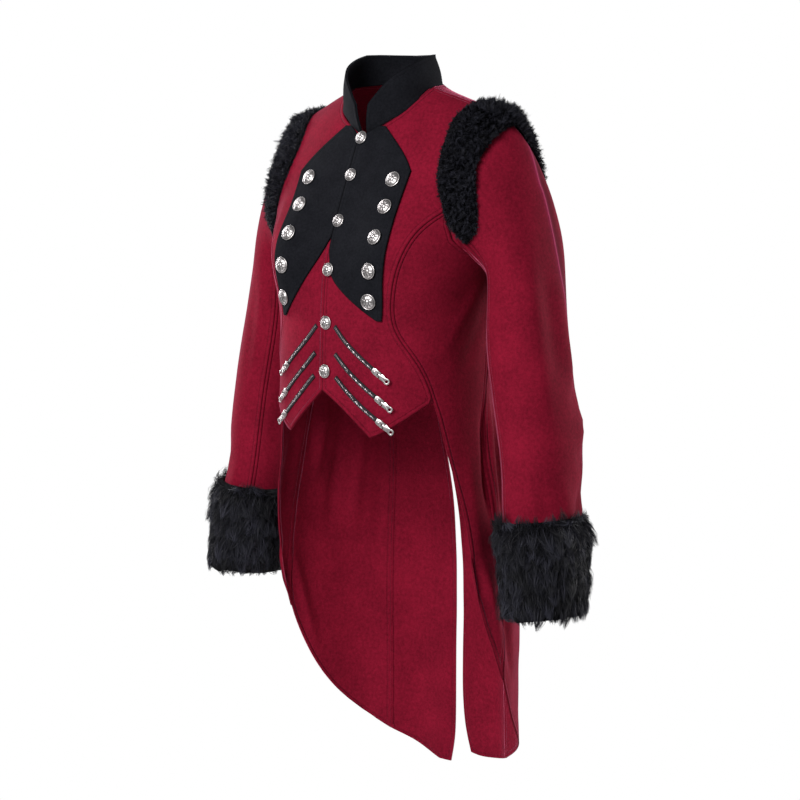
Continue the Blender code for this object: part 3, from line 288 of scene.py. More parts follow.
off_row = maths(seam_group, "ABSOLUTE", maths(seam_group, "SUBTRACT", from_edge, STITCH_ROW))
in_row = nearness(seam_group, off_row, GROOVE_HALF)
beat = maths(seam_group, "FRACT", maths(seam_group, "DIVIDE", along, STITCH_PITCH))
dash = maths(seam_group, "LESS_THAN", beat, STITCH_SHARE)
deep = maths(seam_group, "MULTIPLY_ADD", dash, 1 - BETWEEN_STITCHES, BETWEEN_STITCHES)
groove = maths(seam_group, "MULTIPLY", in_row, deep)
across = maths(seam_group, "SUBTRACT", maths(seam_group, "DIVIDE", from_edge, STITCH_ROW / 2), 1.0)
rounded = maths(seam_group, "SUBTRACT", 1.0, maths(seam_group, "MULTIPLY", across, across))
rounded = maths(seam_group, "MAXIMUM", rounded, 0.0)
height = weighted(seam_group, (rounded, 1.0), (groove, -GROOVE_DEPTH))
seam_group.links.new(height, seam_out.inputs["Height"])
seam_group.links.new(maths(seam_group, "MULTIPLY", in_row, dash), seam_out.inputs["Thread"])
# Valley: where painted shade darkens the cloth along the seam
seam_group.links.new(nearness(seam_group, from_edge, VALLEY), seam_out.inputs["Valley"])
print("groups", [g.name for g in bpy.data.node_groups])

# %% [markdown]
# ## The cloth materials
# The wool is a deep crimson that turns pink where light grazes its nap: that is what a
# shader's sheen is for. The collar and plastrons are a blue-black felt with a shorter nap.
# The pattern is read from the object's own coordinates, so it has the same scale on every
# piece, and the stitch row from the panel's map.

# %% Nodes that several materials use


def blended(tree, amount, under, over):
    """One colour laid over another; either is a colour or another node's output."""
    node = tree.nodes.new("ShaderNodeMix")
    node.data_type = "RGBA"
    for socket, value in (("Factor", amount), ("A", under), ("B", over)):
        feed(tree, node.inputs[socket], value)
    return node.outputs["Result"]


def ramp(tree, factor, first, last, start=0.0, end=1.0):
    """A colour that goes from first to last while the factor goes from start to end."""
    node = tree.nodes.new("ShaderNodeValToRGB")
    for element, position, colour in zip(node.color_ramp.elements, (start, end), (first, last)):
        element.position = position
        element.color = colour
    tree.links.new(factor, node.inputs["Fac"])
    return node.outputs["Color"]


def attribute(tree, name):
    """A number that the mesh carries."""
    node = tree.nodes.new("ShaderNodeAttribute")
    node.attribute_name = name
    return node.outputs["Fac"]


def use_group(tree, group, **inputs):
    """The outputs of a group, whose inputs are given by name with _ for a space."""
    node = tree.nodes.new("ShaderNodeGroup")
    node.node_tree = group
    for name, value in inputs.items():
        feed(tree, node.inputs[name.replace("_", " ")], value)
    return node.outputs


def bump(tree, height):
    """Tilts the shader's normal by a height in metres."""
    node = tree.nodes.new("ShaderNodeBump")
    set_inputs(node, Strength=1.0, Distance=1.0)
    tree.links.new(height, node.inputs["Height"])
    tree.links.new(node.outputs["Normal"], tree.nodes["Principled BSDF"].inputs["Normal"])


# %% A brushed cloth
PRESSED_HALF = 0.0016           # half the width of a pressed line's ridge
PRESSED_RISE = 0.0012           # and its height
PRESSED_SHADE = 16              # how many half widths the painted shade reaches behind it
# the pink of the painted highlight along the pressed ridge
PRESSED_HIGHLIGHT = (0.62, 0.075, 0.20, 1)
NAP_TONES = (0.36, 0.64)        # the nap's shade where its dark and its light tone are full
SHADOW = 0.35                   # the colour of the painted shade, which the thread also takes, as a part of the dark tone
# How much of that painted shade, which the thread also takes, and of the ridge's painted highlight,
# is laid over the cloth.
LAID_OVER = dict(behind=0.75, ridge=0.60, thread=0.22, valley=0.80)


def stitched_colour(tree, colour, height, shadow, stitch_depth):
    """A cloth's colour and height with its stitches, its seams and its pressed line, with a painted
    highlight on the pressed ridge and painted shade behind it and beside the seams.
    """
    panel_map = tree.nodes.new("ShaderNodeUVMap")
    panel_map.uv_map = "edge_map"
    parts = tree.nodes.new("ShaderNodeSeparateXYZ")
    tree.links.new(panel_map.outputs["UV"], parts.inputs["Vector"])
    edge = use_group(tree, seam_group, Along=parts.outputs["X"], From_edge=parts.outputs["Y"])
    off_line = maths(tree, "SUBTRACT", attribute(tree, "pressed"), 1.0)
    off_line = maths(tree, "DIVIDE", off_line, PRESSED_HALF)
    # ridge lifts the bump, and marks where the painted highlight is laid
    ridge = maths(tree, "DIVIDE", 1.0, maths(tree, "MULTIPLY_ADD", off_line, off_line, 1.0))
    # behind: painted shade on the side of the pressed ridge turned away from the light
    behind = maths(tree, "MULTIPLY", between(tree, off_line),
                   nearness(tree, off_line, PRESSED_SHADE))
    layers = [("behind", behind, shadow), ("ridge", ridge, PRESSED_HIGHLIGHT),
              ("thread", edge["Thread"], shadow), ("valley", edge["Valley"], shadow)]
    for name, amount, over in layers:
        colour = blended(tree, maths(tree, "MULTIPLY", amount, LAID_OVER[name]), colour, over)
    height = weighted(tree, (height, 1.0), (edge["Height"], stitch_depth), (ridge, PRESSED_RISE))
    return colour, height


def brushed_cloth(name, dark, light, grain, cloud, rise, stitch_depth=0.0, **finish):
    """A napped cloth whose colour wavers between two tones, with a stitched edge if it has
    a stitch depth."""
    made = new_material(name, **finish)
    tree = made.node_tree
    place = tree.nodes.new("ShaderNodeTexCoord").outputs["Object"]
    nap = use_group(tree, nap_group, Place=place, Grain_scale=grain, Cloud_scale=cloud)
    colour = ramp(tree, nap["Shade"], dark, light, *NAP_TONES)
    height = maths(tree, "MULTIPLY", nap["Height"], rise)
    if stitch_depth:
        shadow = tuple(SHADOW * c for c in dark[:3]) + (1,)
        colour, height = stitched_colour(tree, colour, height, shadow, stitch_depth)
    tree.links.new(colour, tree.nodes["Principled BSDF"].inputs["Base Color"])
    bump(tree, height)
    return made


# %% Wool and felt
wool = brushed_cloth("crimson_wool", (0.130, 0.0028, 0.0135, 1), (0.245, 0.0065, 0.0260, 1),
                     850, 22, 0.00035, 0.0011, Roughness=0.9, Specular_IOR_Level=0.08,
                     Sheen_Weight=0.50, Sheen_Roughness=0.26, Sheen_Tint=(1.0, 0.24, 0.42, 1))
# The inside is the same wool painted darker and with less sheen: painted shade for the coat's
# inside.
wool_inside_painted_shade = brushed_cloth("crimson_wool_inside_painted_shade", (0.110, 0.0015, 0.0085, 1),
                            (0.190, 0.0032, 0.0150, 1), 850, 26, 0.0003, Roughness=0.9,
                            Specular_IOR_Level=0.08, Sheen_Weight=0.1, Sheen_Roughness=0.3,
                            Sheen_Tint=(1.0, 0.25, 0.40, 1))
felt = brushed_cloth("black_felt", (0.0044, 0.0048, 0.0068, 1), (0.0112, 0.0118, 0.0155, 1),
                     1100, 40, 0.00025, 0.00022, Roughness=0.95, Specular_IOR_Level=0.08,
                     Sheen_Weight=0.02, Sheen_Roughness=0.4, Sheen_Tint=(0.75, 0.82, 1.0, 1))
print("cloth materials", wool.name, wool_inside_painted_shade.name, felt.name)

# %% [markdown]
# ## Cloth panels from the frame's solids
# A sewn panel is a thin wall, and the frame already has its true shape in a coarse grid.
# So each panel is a joined copy of its solid: the grid's squares are put back together,
# its sharp rim is creased, and a subdivision surface rounds the cells in between. Outside,
# inside and rim are told apart by where the sharp edges part them.

# %% Copy, crease and subdivide
JOIN = 0.00002
SHARP = math.radians(48)
CORNER = math.radians(24)       # an outline that turns more than this keeps its corner
SQUARE_BEND = math.radians(35)  # two triangles make a square if they bend less than this
SQUARE_SHAPE = math.radians(70)
OUTSIDE, INSIDE, RIM = 0, 1, 2


def joined_copy(node):
    """A CAD node's mesh as a bmesh whose loose triangles are joined into squares."""
    bm = bmesh.new()
    mesh = frame["nodes"][node].data
    corners = [bm.verts.new(v.co) for v in mesh.vertices]
    for polygon in mesh.polygons:
        bm.faces.new([corners[i] for i in polygon.vertices])
    bmesh.ops.remove_doubles(bm, verts=bm.verts, dist=JOIN)
    bmesh.ops.join_triangles(bm, faces=bm.faces, angle_face_threshold=SQUARE_BEND,
                             angle_shape_threshold=SQUARE_SHAPE)
    return bm


def area(faces):
    """The area of some faces together."""
    return sum(face.calc_area() for face in faces)


def crease_outline(bm):
    """Creases the sharp edges and the outline's corners, and gives the edges' layer."""
    crease = bm.edges.layers.float.new("crease_edge")
    corner = bm.verts.layers.float.new("crease_vert")
    bm.normal_update()
    for edge in bm.edges:
        if len(edge.link_faces) == 2 and edge.calc_face_angle(0) > SHARP:
            edge[crease] = 1.0
    for vertex in bm.verts:
        ways = [(edge.other_vert(vertex).co - vertex.co).normalized()
                for edge in vertex.link_edges if edge[crease] > 0]
        if len(ways) > 2 or (len(ways) == 2 and math.pi - ways[0].angle(ways[1]) > CORNER):
            vertex[corner] = 1.0
    return crease


def mark_sides(bm):
    """Creases the outline and writes outside, inside or rim on each face. Gives the areas
    of the outside and the inside."""
    crease = crease_outline(bm)
    left = set(bm.faces)
    regions = []
    while left:
        region = [left.pop()]
        for face in region:
            face.material_index = RIM
            for edge in face.edges:
                others = left.intersection(edge.link_faces) if edge[crease] == 0 else ()
                left.difference_update(others)
                region += others
        regions.append(region)
    regions.sort(key=area, reverse=True)
    for side in (OUTSIDE, INSIDE):
        for face in regions[side]:
            face.material_index = side
    return area(regions[OUTSIDE]), area(regions[INSIDE])


def subdivided(bm, name, levels):
    """The bmesh as a new object with its subdivision surface applied."""
    made = new_object(name, bm)
    modifier = made.modifiers.new("smooth", "SUBSURF")
    modifier.levels = levels
    modifier.render_levels = levels
    modifier.boundary_smooth = "PRESERVE_CORNERS"
    graph = bpy.context.evaluated_depsgraph_get()
    finer = bpy.data.meshes.new_from_object(made.evaluated_get(graph))
    made.modifiers.clear()
    coarse = made.data
    made.data = finer
    bpy.data.meshes.remove(coarse)
    finer.name = name
    return made


# %% [markdown]
# ## Creases placed one by one
# Each crease is a short line on the coat with a width and a height: a ridge where the
# height is above zero, and a trough where it is below. A point near the line is moved
# along the cloth's own outward direction, less and less to each side and towards both
# ends, so nothing has a hard border. The body's lines are given by the angle round the
# body, 0 at centre front and positive to the wearer's left, and a height.

# %% Lines on the body and on the sleeves
Crease = namedtuple("Crease", "points width lift")
BODY_AXIS_Y = 0.012
ACROSS_BODY = 0.6               # further than the cloth is from the body's middle
BODY_CREASES = [
    # drag lines from the near underarm down to the waist
    Crease([(92, -0.23), (84, -0.27), (74, -0.31), (66, -0.34)], 0.010, 0.0022),
    Crease([(100, -0.25), (94, -0.30), (84, -0.34), (76, -0.37)], 0.011, -0.0022),
    Crease([(108, -0.24), (110, -0.29), (106, -0.34), (98, -0.38)], 0.010, 0.0028),
    Crease([(120, -0.22), (122, -0.27), (124, -0.32)], 0.011, -0.0022),
    Crease([(-92, -0.23), (-85, -0.27), (-75, -0.315), (-67, -0.345)], 0.010, 0.0022),
    Crease([(-100, -0.25), (-93, -0.30), (-85, -0.34), (-77, -0.37)], 0.011, -0.0020),
    Crease([(-107, -0.24), (-110, -0.30), (-104, -0.35)], 0.010, 0.0026),
    Crease([(-121, -0.23), (-124, -0.28), (-122, -0.33)], 0.012, -0.0022),
    # the near side back, where the cloth breaks over the hip and runs into the tail
    Crease([(118, -0.36), (116, -0.44), (114, -0.52), (113, -0.60)], 0.009, -0.0045),
    Crease([(127, -0.37), (124, -0.45), (122, -0.53), (121, -0.64)], 0.010, 0.0050),
    Crease([(136, -0.39), (134, -0.47), (133, -0.56), (132, -0.66)], 0.010, -0.0048),
    Crease([(-115, -0.36), (-113, -0.44), (-111, -0.53), (-110, -0.62)], 0.009, 0.0050),
    Crease([(-127, -0.38), (-124, -0.46), (-122, -0.55), (-121, -0.63)], 0.010, -0.0050),
    Crease([(-137, -0.39), (-135, -0.48), (-134, -0.57), (-134, -0.66)], 0.010, 0.0044),
    # small folds across the back of the waist
    Crease([(150, -0.31), (160, -0.322), (172, -0.318)], 0.008, 0.0016),
    Crease([(146, -0.345), (158, -0.352), (170, -0.349)], 0.008, -0.0016),
    Crease([(-148, -0.30), (-160, -0.314), (-173, -0.312)], 0.008, 0.0015),
    Crease([(-150, -0.335), (-163, -0.345), (-172, -0.343)], 0.008, -0.0015),
    # shoulder blades to the armholes
    Crease([(112, -0.11), (122, -0.16), (130, -0.21)], 0.013, 0.0018),
    Crease([(-112, -0.11), (-121, -0.165), (-131, -0.21)], 0.013, 0.0018),
    # the chest beside the armholes
    Crease([(57, -0.13), (50, -0.16), (46, -0.20)], 0.010, 0.0014),
    Crease([(-57, -0.13), (-50, -0.165), (-46, -0.20)], 0.010, 0.0014),
    # the deep folds that stand behind the near side panel, and the far side's
    Crease([(101, -0.375), (97, -0.43), (94, -0.49), (92, -0.56)], 0.0075, 0.0062),
    Crease([(94, -0.38), (91, -0.44), (88, -0.50), (87, -0.57)], 0.0070, -0.0050),
    Crease([(106, -0.40), (103, -0.46), (99, -0.52), (97, -0.59)], 0.0075, -0.0050),
    Crease([(110, -0.39), (108, -0.46), (105, -0.53), (103, -0.62)], 0.0080, 0.0055),
    Crease([(-98, -0.38), (-96, -0.44), (-95, -0.50)], 0.0080, 0.0045),
    Crease([(-105, -0.40), (-102, -0.46), (-101, -0.54)], 0.0080, -0.0042),
    # the side panels down the tails
    Crease([(80, -0.44), (79, -0.53), (80, -0.62)], 0.010, 0.0026),
    Crease([(76, -0.58), (80, -0.65), (85, -0.72), (90, -0.80)], 0.0075, -0.0045),
    Crease([(81, -0.58), (86, -0.66), (92, -0.74), (98, -0.82)], 0.0080, 0.0055),
    Crease([(88, -0.60), (94, -0.68), (101, -0.76), (107, -0.83)], 0.0080, -0.0050),
    Crease([(-84, -0.60), (-91, -0.68), (-98, -0.76)], 0.0085, 0.0048),
    Crease([(-91, -0.60), (-98, -0.68), (-105, -0.77)], 0.0085, -0.0045),
    Crease([(-80, -0.43), (-80, -0.50), (-84, -0.58)], 0.010, 0.0024),
    Crease([(-88, -0.42), (-87, -0.50), (-88, -0.58)], 0.010, -0.0024),
]
BODY_PANELS = [f"{piece}_{side}" for piece in ("front", "side", "side_back", "back")
               for side in SIDES]


def level_way(degrees):
    """The level direction at an angle from the front round to the wearer's left."""
    angle = math.radians(degrees)
    return Vector((math.sin(angle), -math.cos(angle), 0))


def solid_tree(nodes):
    """A search tree over several CAD nodes."""
    corners = []
    faces = []
    for node in nodes:
        mesh = frame["nodes"][node].data
        faces += [[len(corners) + i for i in polygon.vertices] for polygon in mesh.polygons]
        corners += [v.co.copy() for v in mesh.vertices]
    return BVHTree.FromPolygons(corners, faces)


def place_lines(creases, tree, axis):
    """Turns each crease's angles and heights into points on the cloth; axis gives the
    middle of the tube at a height."""
    placed = []
    for crease in creases:
        points = []
        for degrees, z in crease.points:
            hit = tree.ray_cast(axis(z), level_way(degrees), ACROSS_BODY)[0]
            if hit:
                points.append(hit)
        if len(points) > 1:
            placed.append(Crease(np.array(points), crease.width, crease.lift))
    return placed


def body_axis(z):
    """The middle of the body at a height."""
    return Vector((0, BODY_AXIS_Y, z))


body_lines = place_lines(BODY_CREASES, solid_tree(BODY_PANELS), body_axis)
print("creases placed on the body", len(body_lines), "of", len(BODY_CREASES))

# %% The same for the sleeves
# Angles go round the arm: 0 faces the front, 90 away from the body and 180 the back.
SLEEVE_TOP = (0.197, 0.040, -0.20)
SLEEVE_END = (0.248, 0.016, -0.60)
SLEEVE_CREASES = [
    Crease([(40, -0.17), (44, -0.26), (52, -0.36), (60, -0.45)], 0.013, 0.0032),
    Crease([(74, -0.20), (80, -0.30), (86, -0.38)], 0.013, -0.0029),
    Crease([(112, -0.22), (118, -0.31), (124, -0.39)], 0.012, 0.0035),
    Crease([(10, -0.24), (4, -0.33), (0, -0.42)], 0.011, -0.0026),
    Crease([(150, -0.36), (120, -0.385), (96, -0.39)], 0.009, -0.0038),
    Crease([(165, -0.40), (135, -0.425), (108, -0.43)], 0.010, 0.0038),
    Crease([(150, -0.455), (122, -0.462), (98, -0.455)], 0.009, -0.0032),
    Crease([(30, -0.47), (44, -0.51), (50, -0.55)], 0.011, -0.0029),
    Crease([(82, -0.48), (86, -0.52), (84, -0.56)], 0.011, 0.0032),
    Crease([(128, -0.49), (120, -0.53), (112, -0.57)], 0.010, -0.0043),
    Crease([(150, -0.50), (148, -0.54), (142, -0.58)], 0.010, 0.0038),
    Crease([(-8, -0.50), (2, -0.54), (8, -0.58)], 0.010, 0.0026),
]


def sleeve_axis(side):
    """The middle of that sleeve, as a function of the height."""
    top = Vector((SIDES[side] * SLEEVE_TOP[0], SLEEVE_TOP[1], SLEEVE_TOP[2]))
    end = Vector((SIDES[side] * SLEEVE_END[0], SLEEVE_END[1], SLEEVE_END[2]))
    return lambda z: top.lerp(end, (z - top.z) / (end.z - top.z))


def mirrored(creases, side):
    """The creases for a side; the right arm's lie a little higher."""
    return [crease._replace(points=[(SIDES[side] * degrees, z + SLEEVE_SHIFT[side])
                                    for degrees, z in crease.points]) for crease in creases]


SLEEVE_SHIFT = {"left": 0.0, "right": 0.012}
sleeve_lines = {}
for side in SIDES:
    arm = solid_tree([f"sleeve_top_{side}", f"sleeve_under_{side}"])
    sleeve_lines[side] = place_lines(mirrored(SLEEVE_CREASES, side), arm, sleeve_axis(side))
    print("creases placed on the", side, "sleeve", len(sleeve_lines[side]))

# %% [markdown]
# ## Moving the cloth along its creases
# The height of the field is worked out once for each point of the outside, and the inside
# takes the same height from the outside point above it. So the wall keeps its thickness.
# Near a seam, the panel that laps on top is lifted a little more, which leaves the small
# step that a pressed seam has.

# %% Outside, inside and a field of creases
CREASE_END = 0.35               # the share of its length over which a crease runs out


def outward(mesh):
    """For each vertex the cloth's outward direction, and whether it is on the inside."""
    count = len(mesh.vertices)
    direction = np.zeros((count, 3))
    inside = np.zeros(count, bool)
    for polygon in mesh.polygons:
        index = list(polygon.vertices)
        if polygon.material_index == RIM:
            continue
        sign = 1 if polygon.material_index == OUTSIDE else -1
        direction[index] += sign * polygon.area * np.array(polygon.normal)
        if sign < 0:
            inside[index] = True
    length = np.linalg.norm(direction, axis=1)
    direction[length > 0] /= length[length > 0, None]
    return direction, inside


def ease(t):
    """A soft step from 0 to 1."""
    t = np.clip(t, 0, 1)
    return t * t * (3 - 2 * t)


def crease_height(points, lines):
    """How far each point is lifted by all the creases together."""
    total = np.zeros(len(points))
    for line in lines:
        steps = np.diff(line.points, axis=0)
        lengths = np.linalg.norm(steps, axis=1)
        along = np.concatenate([[0], np.cumsum(lengths)])
        best = np.full(len(points), np.inf)
        where = np.zeros(len(points))
        for start, step, length, before in zip(line.points[:-1], steps, lengths, along):
            t = np.clip((points - start) @ step / length**2, 0, 1)
            gap = np.linalg.norm(points - start - t[:, None] * step, axis=1)
            nearer = gap < best
            best[nearer] = gap[nearer]
            where[nearer] = (before + t[nearer] * length) / along[-1]
        fade = ease(where / CREASE_END) * ease((1 - where) / CREASE_END)
        total += line.lift * fade * np.exp(-(best / line.width)**2)
    return total


def waver(points):
    """A slow, small unevenness from a few crossing waves."""
    x, y, z = points.T
    return (np.sin(41 * x + 17 * z + 1.3) * np.sin(29 * z - 23 * y + 0.4)
            + 0.6 * np.sin(67 * y - 37 * z + 2.1) * np.sin(53 * x + 43 * z)
            + 0.4 * np.sin(97 * z + 31 * x) * np.sin(83 * y + 61 * x + 0.7)) / 2


# %% Laps, closed seams and the pressed line
WALL = 0.0020
LAP = 0.0006                    # how far a lapping edge stands up
LAP_REACH = 0.009
LAP_NEAR = 0.0012               # an edge this near to a neighbour laps over it
SEAM_CLOSE = 0.00035            # each edge reaches this much further, so that seams are shut
WAVER = 0.0006                  # small unevenness all over
# The ridge pressed down the back of each top sleeve, until it runs out over the back seam. It is
# raised by a bump and drawn with a painted highlight, and painted shade lies behind it.
PRESSED_LINE = [(82, -0.070), (84, -0.105), (87, -0.120), (94, -0.134), (97, -0.155),
                (103, -0.178), (110, -0.199), (117, -0.218), (124, -0.246), (138, -0.290),
                (158, -0.340), (176, -0.390), (178, -0.600)]
SLEEVE_GAP = -90                # the arm's inner side, which the top sleeve leaves free


def point_tree(points):
    """A search tree over points."""
    tree = KDTree(len(points))
    for i, point in enumerate(points):
        tree.insert(point, i)
    tree.balance()
    return tree


def lap_lift(mesh, points, neighbours):
    """How far each point is lifted where the panel laps over its neighbours."""
    if not neighbours:
        return np.zeros(len(points))
    under = solid_tree(neighbours)
    edge = {i for polygon in mesh.polygons if polygon.material_index == RIM
            for i in polygon.vertices}
    search = point_tree([points[i] for i in edge
                         if under.find_nearest(points[i])[3] < LAP_NEAR])
    gaps = np.array([search.find(point)[2] for point in points])
    return LAP * ease(1 - gaps / LAP_REACH)


def write_pressed(mesh, axis, sign):
    """Stores how far behind the pressed line each point is, plus one metre, so that a
    piece with no such line, which reads 0, is far from it."""
    heights = [z for _, z in reversed(PRESSED_LINE)]
    angles = [degrees for degrees, _ in reversed(PRESSED_LINE)]
    values = []
    for vertex in mesh.vertices:
        reach = vertex.co - axis(vertex.co.z)
        there = math.degrees(math.atan2(sign * reach.x, -reach.y))
        there = (there - SLEEVE_GAP) % 360 + SLEEVE_GAP
        off = math.radians(there - np.interp(vertex.co.z, heights, angles))
        values.append(1.0 + off * reach.xy.length)
    mesh.attributes.new("pressed", "FLOAT", "POINT").data.foreach_set("value", values)


def displace(mesh, lines, neighbours):
    """Moves a panel's points along its creases, lifts its lapping edges and shuts its
    seams."""
    direction, inside = outward(mesh)
    points = np.array([vertex.co for vertex in mesh.vertices])
    sideways = np.zeros_like(points)
    outside_points = points + direction * (WALL * inside)[:, None]
    height = crease_height(outside_points, lines) + WAVER * waver(outside_points)
    height += lap_lift(mesh, outside_points, neighbours)
    points += direction * height[:, None]
    for polygon in mesh.polygons:
        if polygon.material_index == RIM:
            sideways[list(polygon.vertices)] += polygon.area * np.array(polygon.normal)
    length = np.linalg.norm(sideways, axis=1)
    points[length > 0] += SEAM_CLOSE * sideways[length > 0] / length[length > 0, None]
    mesh.vertices.foreach_set("co", points.ravel())
    mesh.update()
    print(f"{mesh.name}: moved from {height.min():.4f} to {height.max():.4f} m")


# %% [markdown]
# ## A map for the stitches
# Beside each seam runs a row of stitches. Its place is where the panel's map says it is:
# the map's second number is the distance from the panel's edge, and its first number how
# far along the edge. Both are measured on the mesh itself.

# %% Measure from the edge
EDGE_STEP = 0.001


def edge_points(mesh):
    """Points every millimetre along the outside's edge, each with its place along it."""
    bm = bmesh.new()
    bm.from_mesh(mesh)
    border = [e for e in bm.edges if {f.material_index for f in e.link_faces} == {OUTSIDE, RIM}]
    at_vertex = {}
    for edge in border:
        for v in edge.verts:
            at_vertex.setdefault(v, []).append(edge)
    found = []
    unused = set(border)
    while unused:
        edge = unused.pop()
        start = edge.verts[0]
        run = 0.0
        while edge:
            other = edge.other_vert(start)
            length = edge.calc_length()
            for k in range(max(1, round(length / EDGE_STEP))):
                t = k * EDGE_STEP / max(length, EDGE_STEP)
                found.append((start.co.lerp(other.co, min(t, 1.0)), run + t * length))
            run += length
            start = other
            edge = next((e for e in at_vertex[start] if e in unused), None)
            if edge:
                unused.remove(edge)
    bm.free()
    return found


def write_edge_map(mesh):
    """Stores place along the edge and distance from it as the map edge_map."""
    found = edge_points(mesh)
    tree = point_tree([place for place, _ in found])
    nearest = [tree.find(vertex.co) for vertex in mesh.vertices]
    values = np.array([(found[i][1], gap) for _, i, gap in nearest])
    corner_vertex = [loop.vertex_index for loop in mesh.loops]
    layer = mesh.uv_layers.new(name="edge_map")
    layer.data.foreach_set("uv", values[corner_vertex].ravel().astype(np.float32))


# %% Shade a piece and tie it to the coat


def smooth(mesh, sharp=False):
    """Shades a mesh softly, except over its sharp edges where it has them."""
    mesh.polygons.foreach_set("use_smooth", [True] * len(mesh.polygons))
    if sharp:
        mesh.set_sharp_from_angle(angle=SHARP)


def tie(piece, node, body=COAT):
    """Ties a piece to its body and hides the solid it stands for."""
    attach(piece, body)
    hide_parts(node)


# %% Make a cloth piece from its solid
# The flat cut: the rectangle that a piece comes out of, and its own area. Then what it
# rests on, how it is held, the neighbours that its edges lap over, and how finely it is
# divided.
Cut = namedtuple("Cut", "width length area rests_on held laps_over levels")


def cloth_piece(kind, name, side, cut, shape, materials):
    """One cloth piece in place of its solid. shape moves the mesh's points, and materials
    are those of the outside, the inside and the rim."""
    bm = joined_copy(f"{name}_{side}")
    areas = mark_sides(bm)
    piece = subdivided(bm, f"{kind}_{name}_{side}", cut.levels)
    shape(piece.data)
    write_edge_map(piece.data)
    piece.data.materials.clear()
    for material in materials:
        piece.data.materials.append(material)
    smooth(piece.data, sharp=True)
    print(f"{piece.name}: outside {areas[0]:.4f} and inside {areas[1]:.4f} m2,"
          f" {len(piece.data.polygons)} faces")
    return piece


# %% Make the wool panels
CUTS = {
    "front": Cut(0.235, 0.455, 0.0585, "side", "hung", ["side"], 2),
    "side": Cut(0.135, 0.610, 0.0450, "side_back", "hung", [], 3),
    "side_back": Cut(0.180, 0.760, 0.0835, "back", "hung", ["side"], 3),
    "back": Cut(0.175, 0.910, 0.0980, "front", "hung", ["side_back"], 2),
    "sleeve_top": Cut(0.230, 0.590, 0.0920, "front", "hung", ["sleeve_under"], 2),
    "sleeve_under": Cut(0.165, 0.520, 0.0655, "side", "hung", [], 2),
}


def wool_panel(name, side, cut):
    """One wool piece, with its creases and laps."""
    lines = sleeve_lines[side] if name.startswith("sleeve") else body_lines
    neighbours = [f"{other}_{side}" for other in cut.laps_over]
    piece = cloth_piece("wool", name, side, cut, lambda mesh: displace(mesh, lines, neighbours),
                        (wool, wool_inside_painted_shade, wool))
    if name == "sleeve_top":
        write_pressed(piece.data, sleeve_axis(side), SIDES[side])
    tie(piece, f"{name}_{side}")


for side in SIDES:
    for name, cut in CUTS.items():
        wool_panel(name, side, cut)

# %% [markdown]
# ## Collar and plastrons
# The stand collar and the two plastrons are felt with the same kind of pressed edge. The
# plastrons lie on the fronts, so they are copies of solids that already follow the chest.

# %% Felt pieces
FELT_CUTS = {
    "collar": Cut(0.165, 0.080, 0.0085, "front", "hung", [], 2),
    "plastron": Cut(0.100, 0.250, 0.0200, "front", "laid", [], 2),
}
PLASTRON_BAND = 0.004           # the inner edge is looked up in bands of this height
CLOSING_LINE = -0.00515         # where the left front's edge lies
PLASTRON_NEAR = 0.0030          # an edge nearer than this to the closing line is drawn to it
PLASTRON_EASE = 1.5             # it is drawn less and less from half this far on
PLASTRON_DRAWN = 0.012          # how far in the felt gives way
PLASTRON_MEET = 0.0002          # what is left between the edge and the line
NECK_SEAM = 0.0016              # the collar's lower edge is this near to the neck, or less


def close_neck_seam(mesh, *neighbours):
    """Brings the collar's lower edge down onto the neck's edge."""
    neck = solid_tree(neighbours)
    for vertex in mesh.vertices:
        place, _, _, gap = neck.find_nearest(vertex.co)
        if gap < NECK_SEAM:
            vertex.co = place


def meet_in_front(mesh, sign):
    """Draws the plastron's inner edge to the closing line wherever it is close to it."""
    away = {}
    for vertex in mesh.vertices:
        band = round(vertex.co.z / PLASTRON_BAND)
        away[band] = min(away.get(band, 1.0), sign * (vertex.co.x - CLOSING_LINE))
    steps = sorted(away)
    edge = [away[step] for step in steps]
    for vertex in mesh.vertices:
        inner = np.interp(vertex.co.z / PLASTRON_BAND, steps, edge)
        near = ease(PLASTRON_EASE - inner / PLASTRON_NEAR)
        share = 1 - ease((sign * (vertex.co.x - CLOSING_LINE) - inner) / PLASTRON_DRAWN)
        vertex.co.x -= sign * near * share * (inner - PLASTRON_MEET)


def felt_piece(name, side, cut):
    """One felt piece, drawn to what it meets."""
    def shape(mesh):
        if name == "collar":
            close_neck_seam(mesh, f"front_{side}", f"back_{side}")
        else:
            meet_in_front(mesh, SIDES[side])

    piece = cloth_piece("felt", name, side, cut, shape, (felt, felt, felt))
    tie(piece, f"{name}_{side}")


for side in SIDES:
    for name, cut in FELT_CUTS.items():
        felt_piece(name, side, cut)

# %% [markdown]
# ## Fur
# The fur is a pile of long hair on a cloth backing. The frame's fur solids are the outer
# form of that pile, so each is made twice: a dark backing at about half its depth, which
# keeps the red from showing through, and thousands of hairs that reach from the backing
# to the form's outside. A hair is a flat strip of three steps that narrows to a point. Real
# fur falls into locks, so the hairs near a lock's middle lean their tips towards its own.

# %% Fur materials
# A hair's tone, random from lock to lock and from hair to hair and darker towards its root, sets
# its colour.
hair = new_material("black_hair", Roughness=0.60, Specular_IOR_Level=0.24)
hair_colour = ramp(hair.node_tree, attribute(hair.node_tree, "tone"), (0.0026, 0.0028, 0.0042, 1),
                   (0.0480, 0.0490, 0.0720, 1))
hair.node_tree.links.new(hair_colour, hair.node_tree.nodes["Principled BSDF"].inputs["Base Color"])
backing = brushed_cloth("fur_backing", (0.0020, 0.0020, 0.0026, 1), (0.0060, 0.0062, 0.0080, 1),
                        500, 90, 0.0010, Roughness=0.9, Specular_IOR_Level=0.1)
print("fur materials", hair.name, backing.name)

# %% Hairs from roots, tips and leans
HAIR_STEPS = 3
HAIR_TAPER = 1.6                # a hair stays wide for longer if this is higher
ROOT_TONE = 0.35                # a root's tone as a part of its tip's


def unit(vectors):
    """Each row at length one."""
    return vectors / (np.linalg.norm(vectors, axis=-1, keepdims=True) + 1e-12)


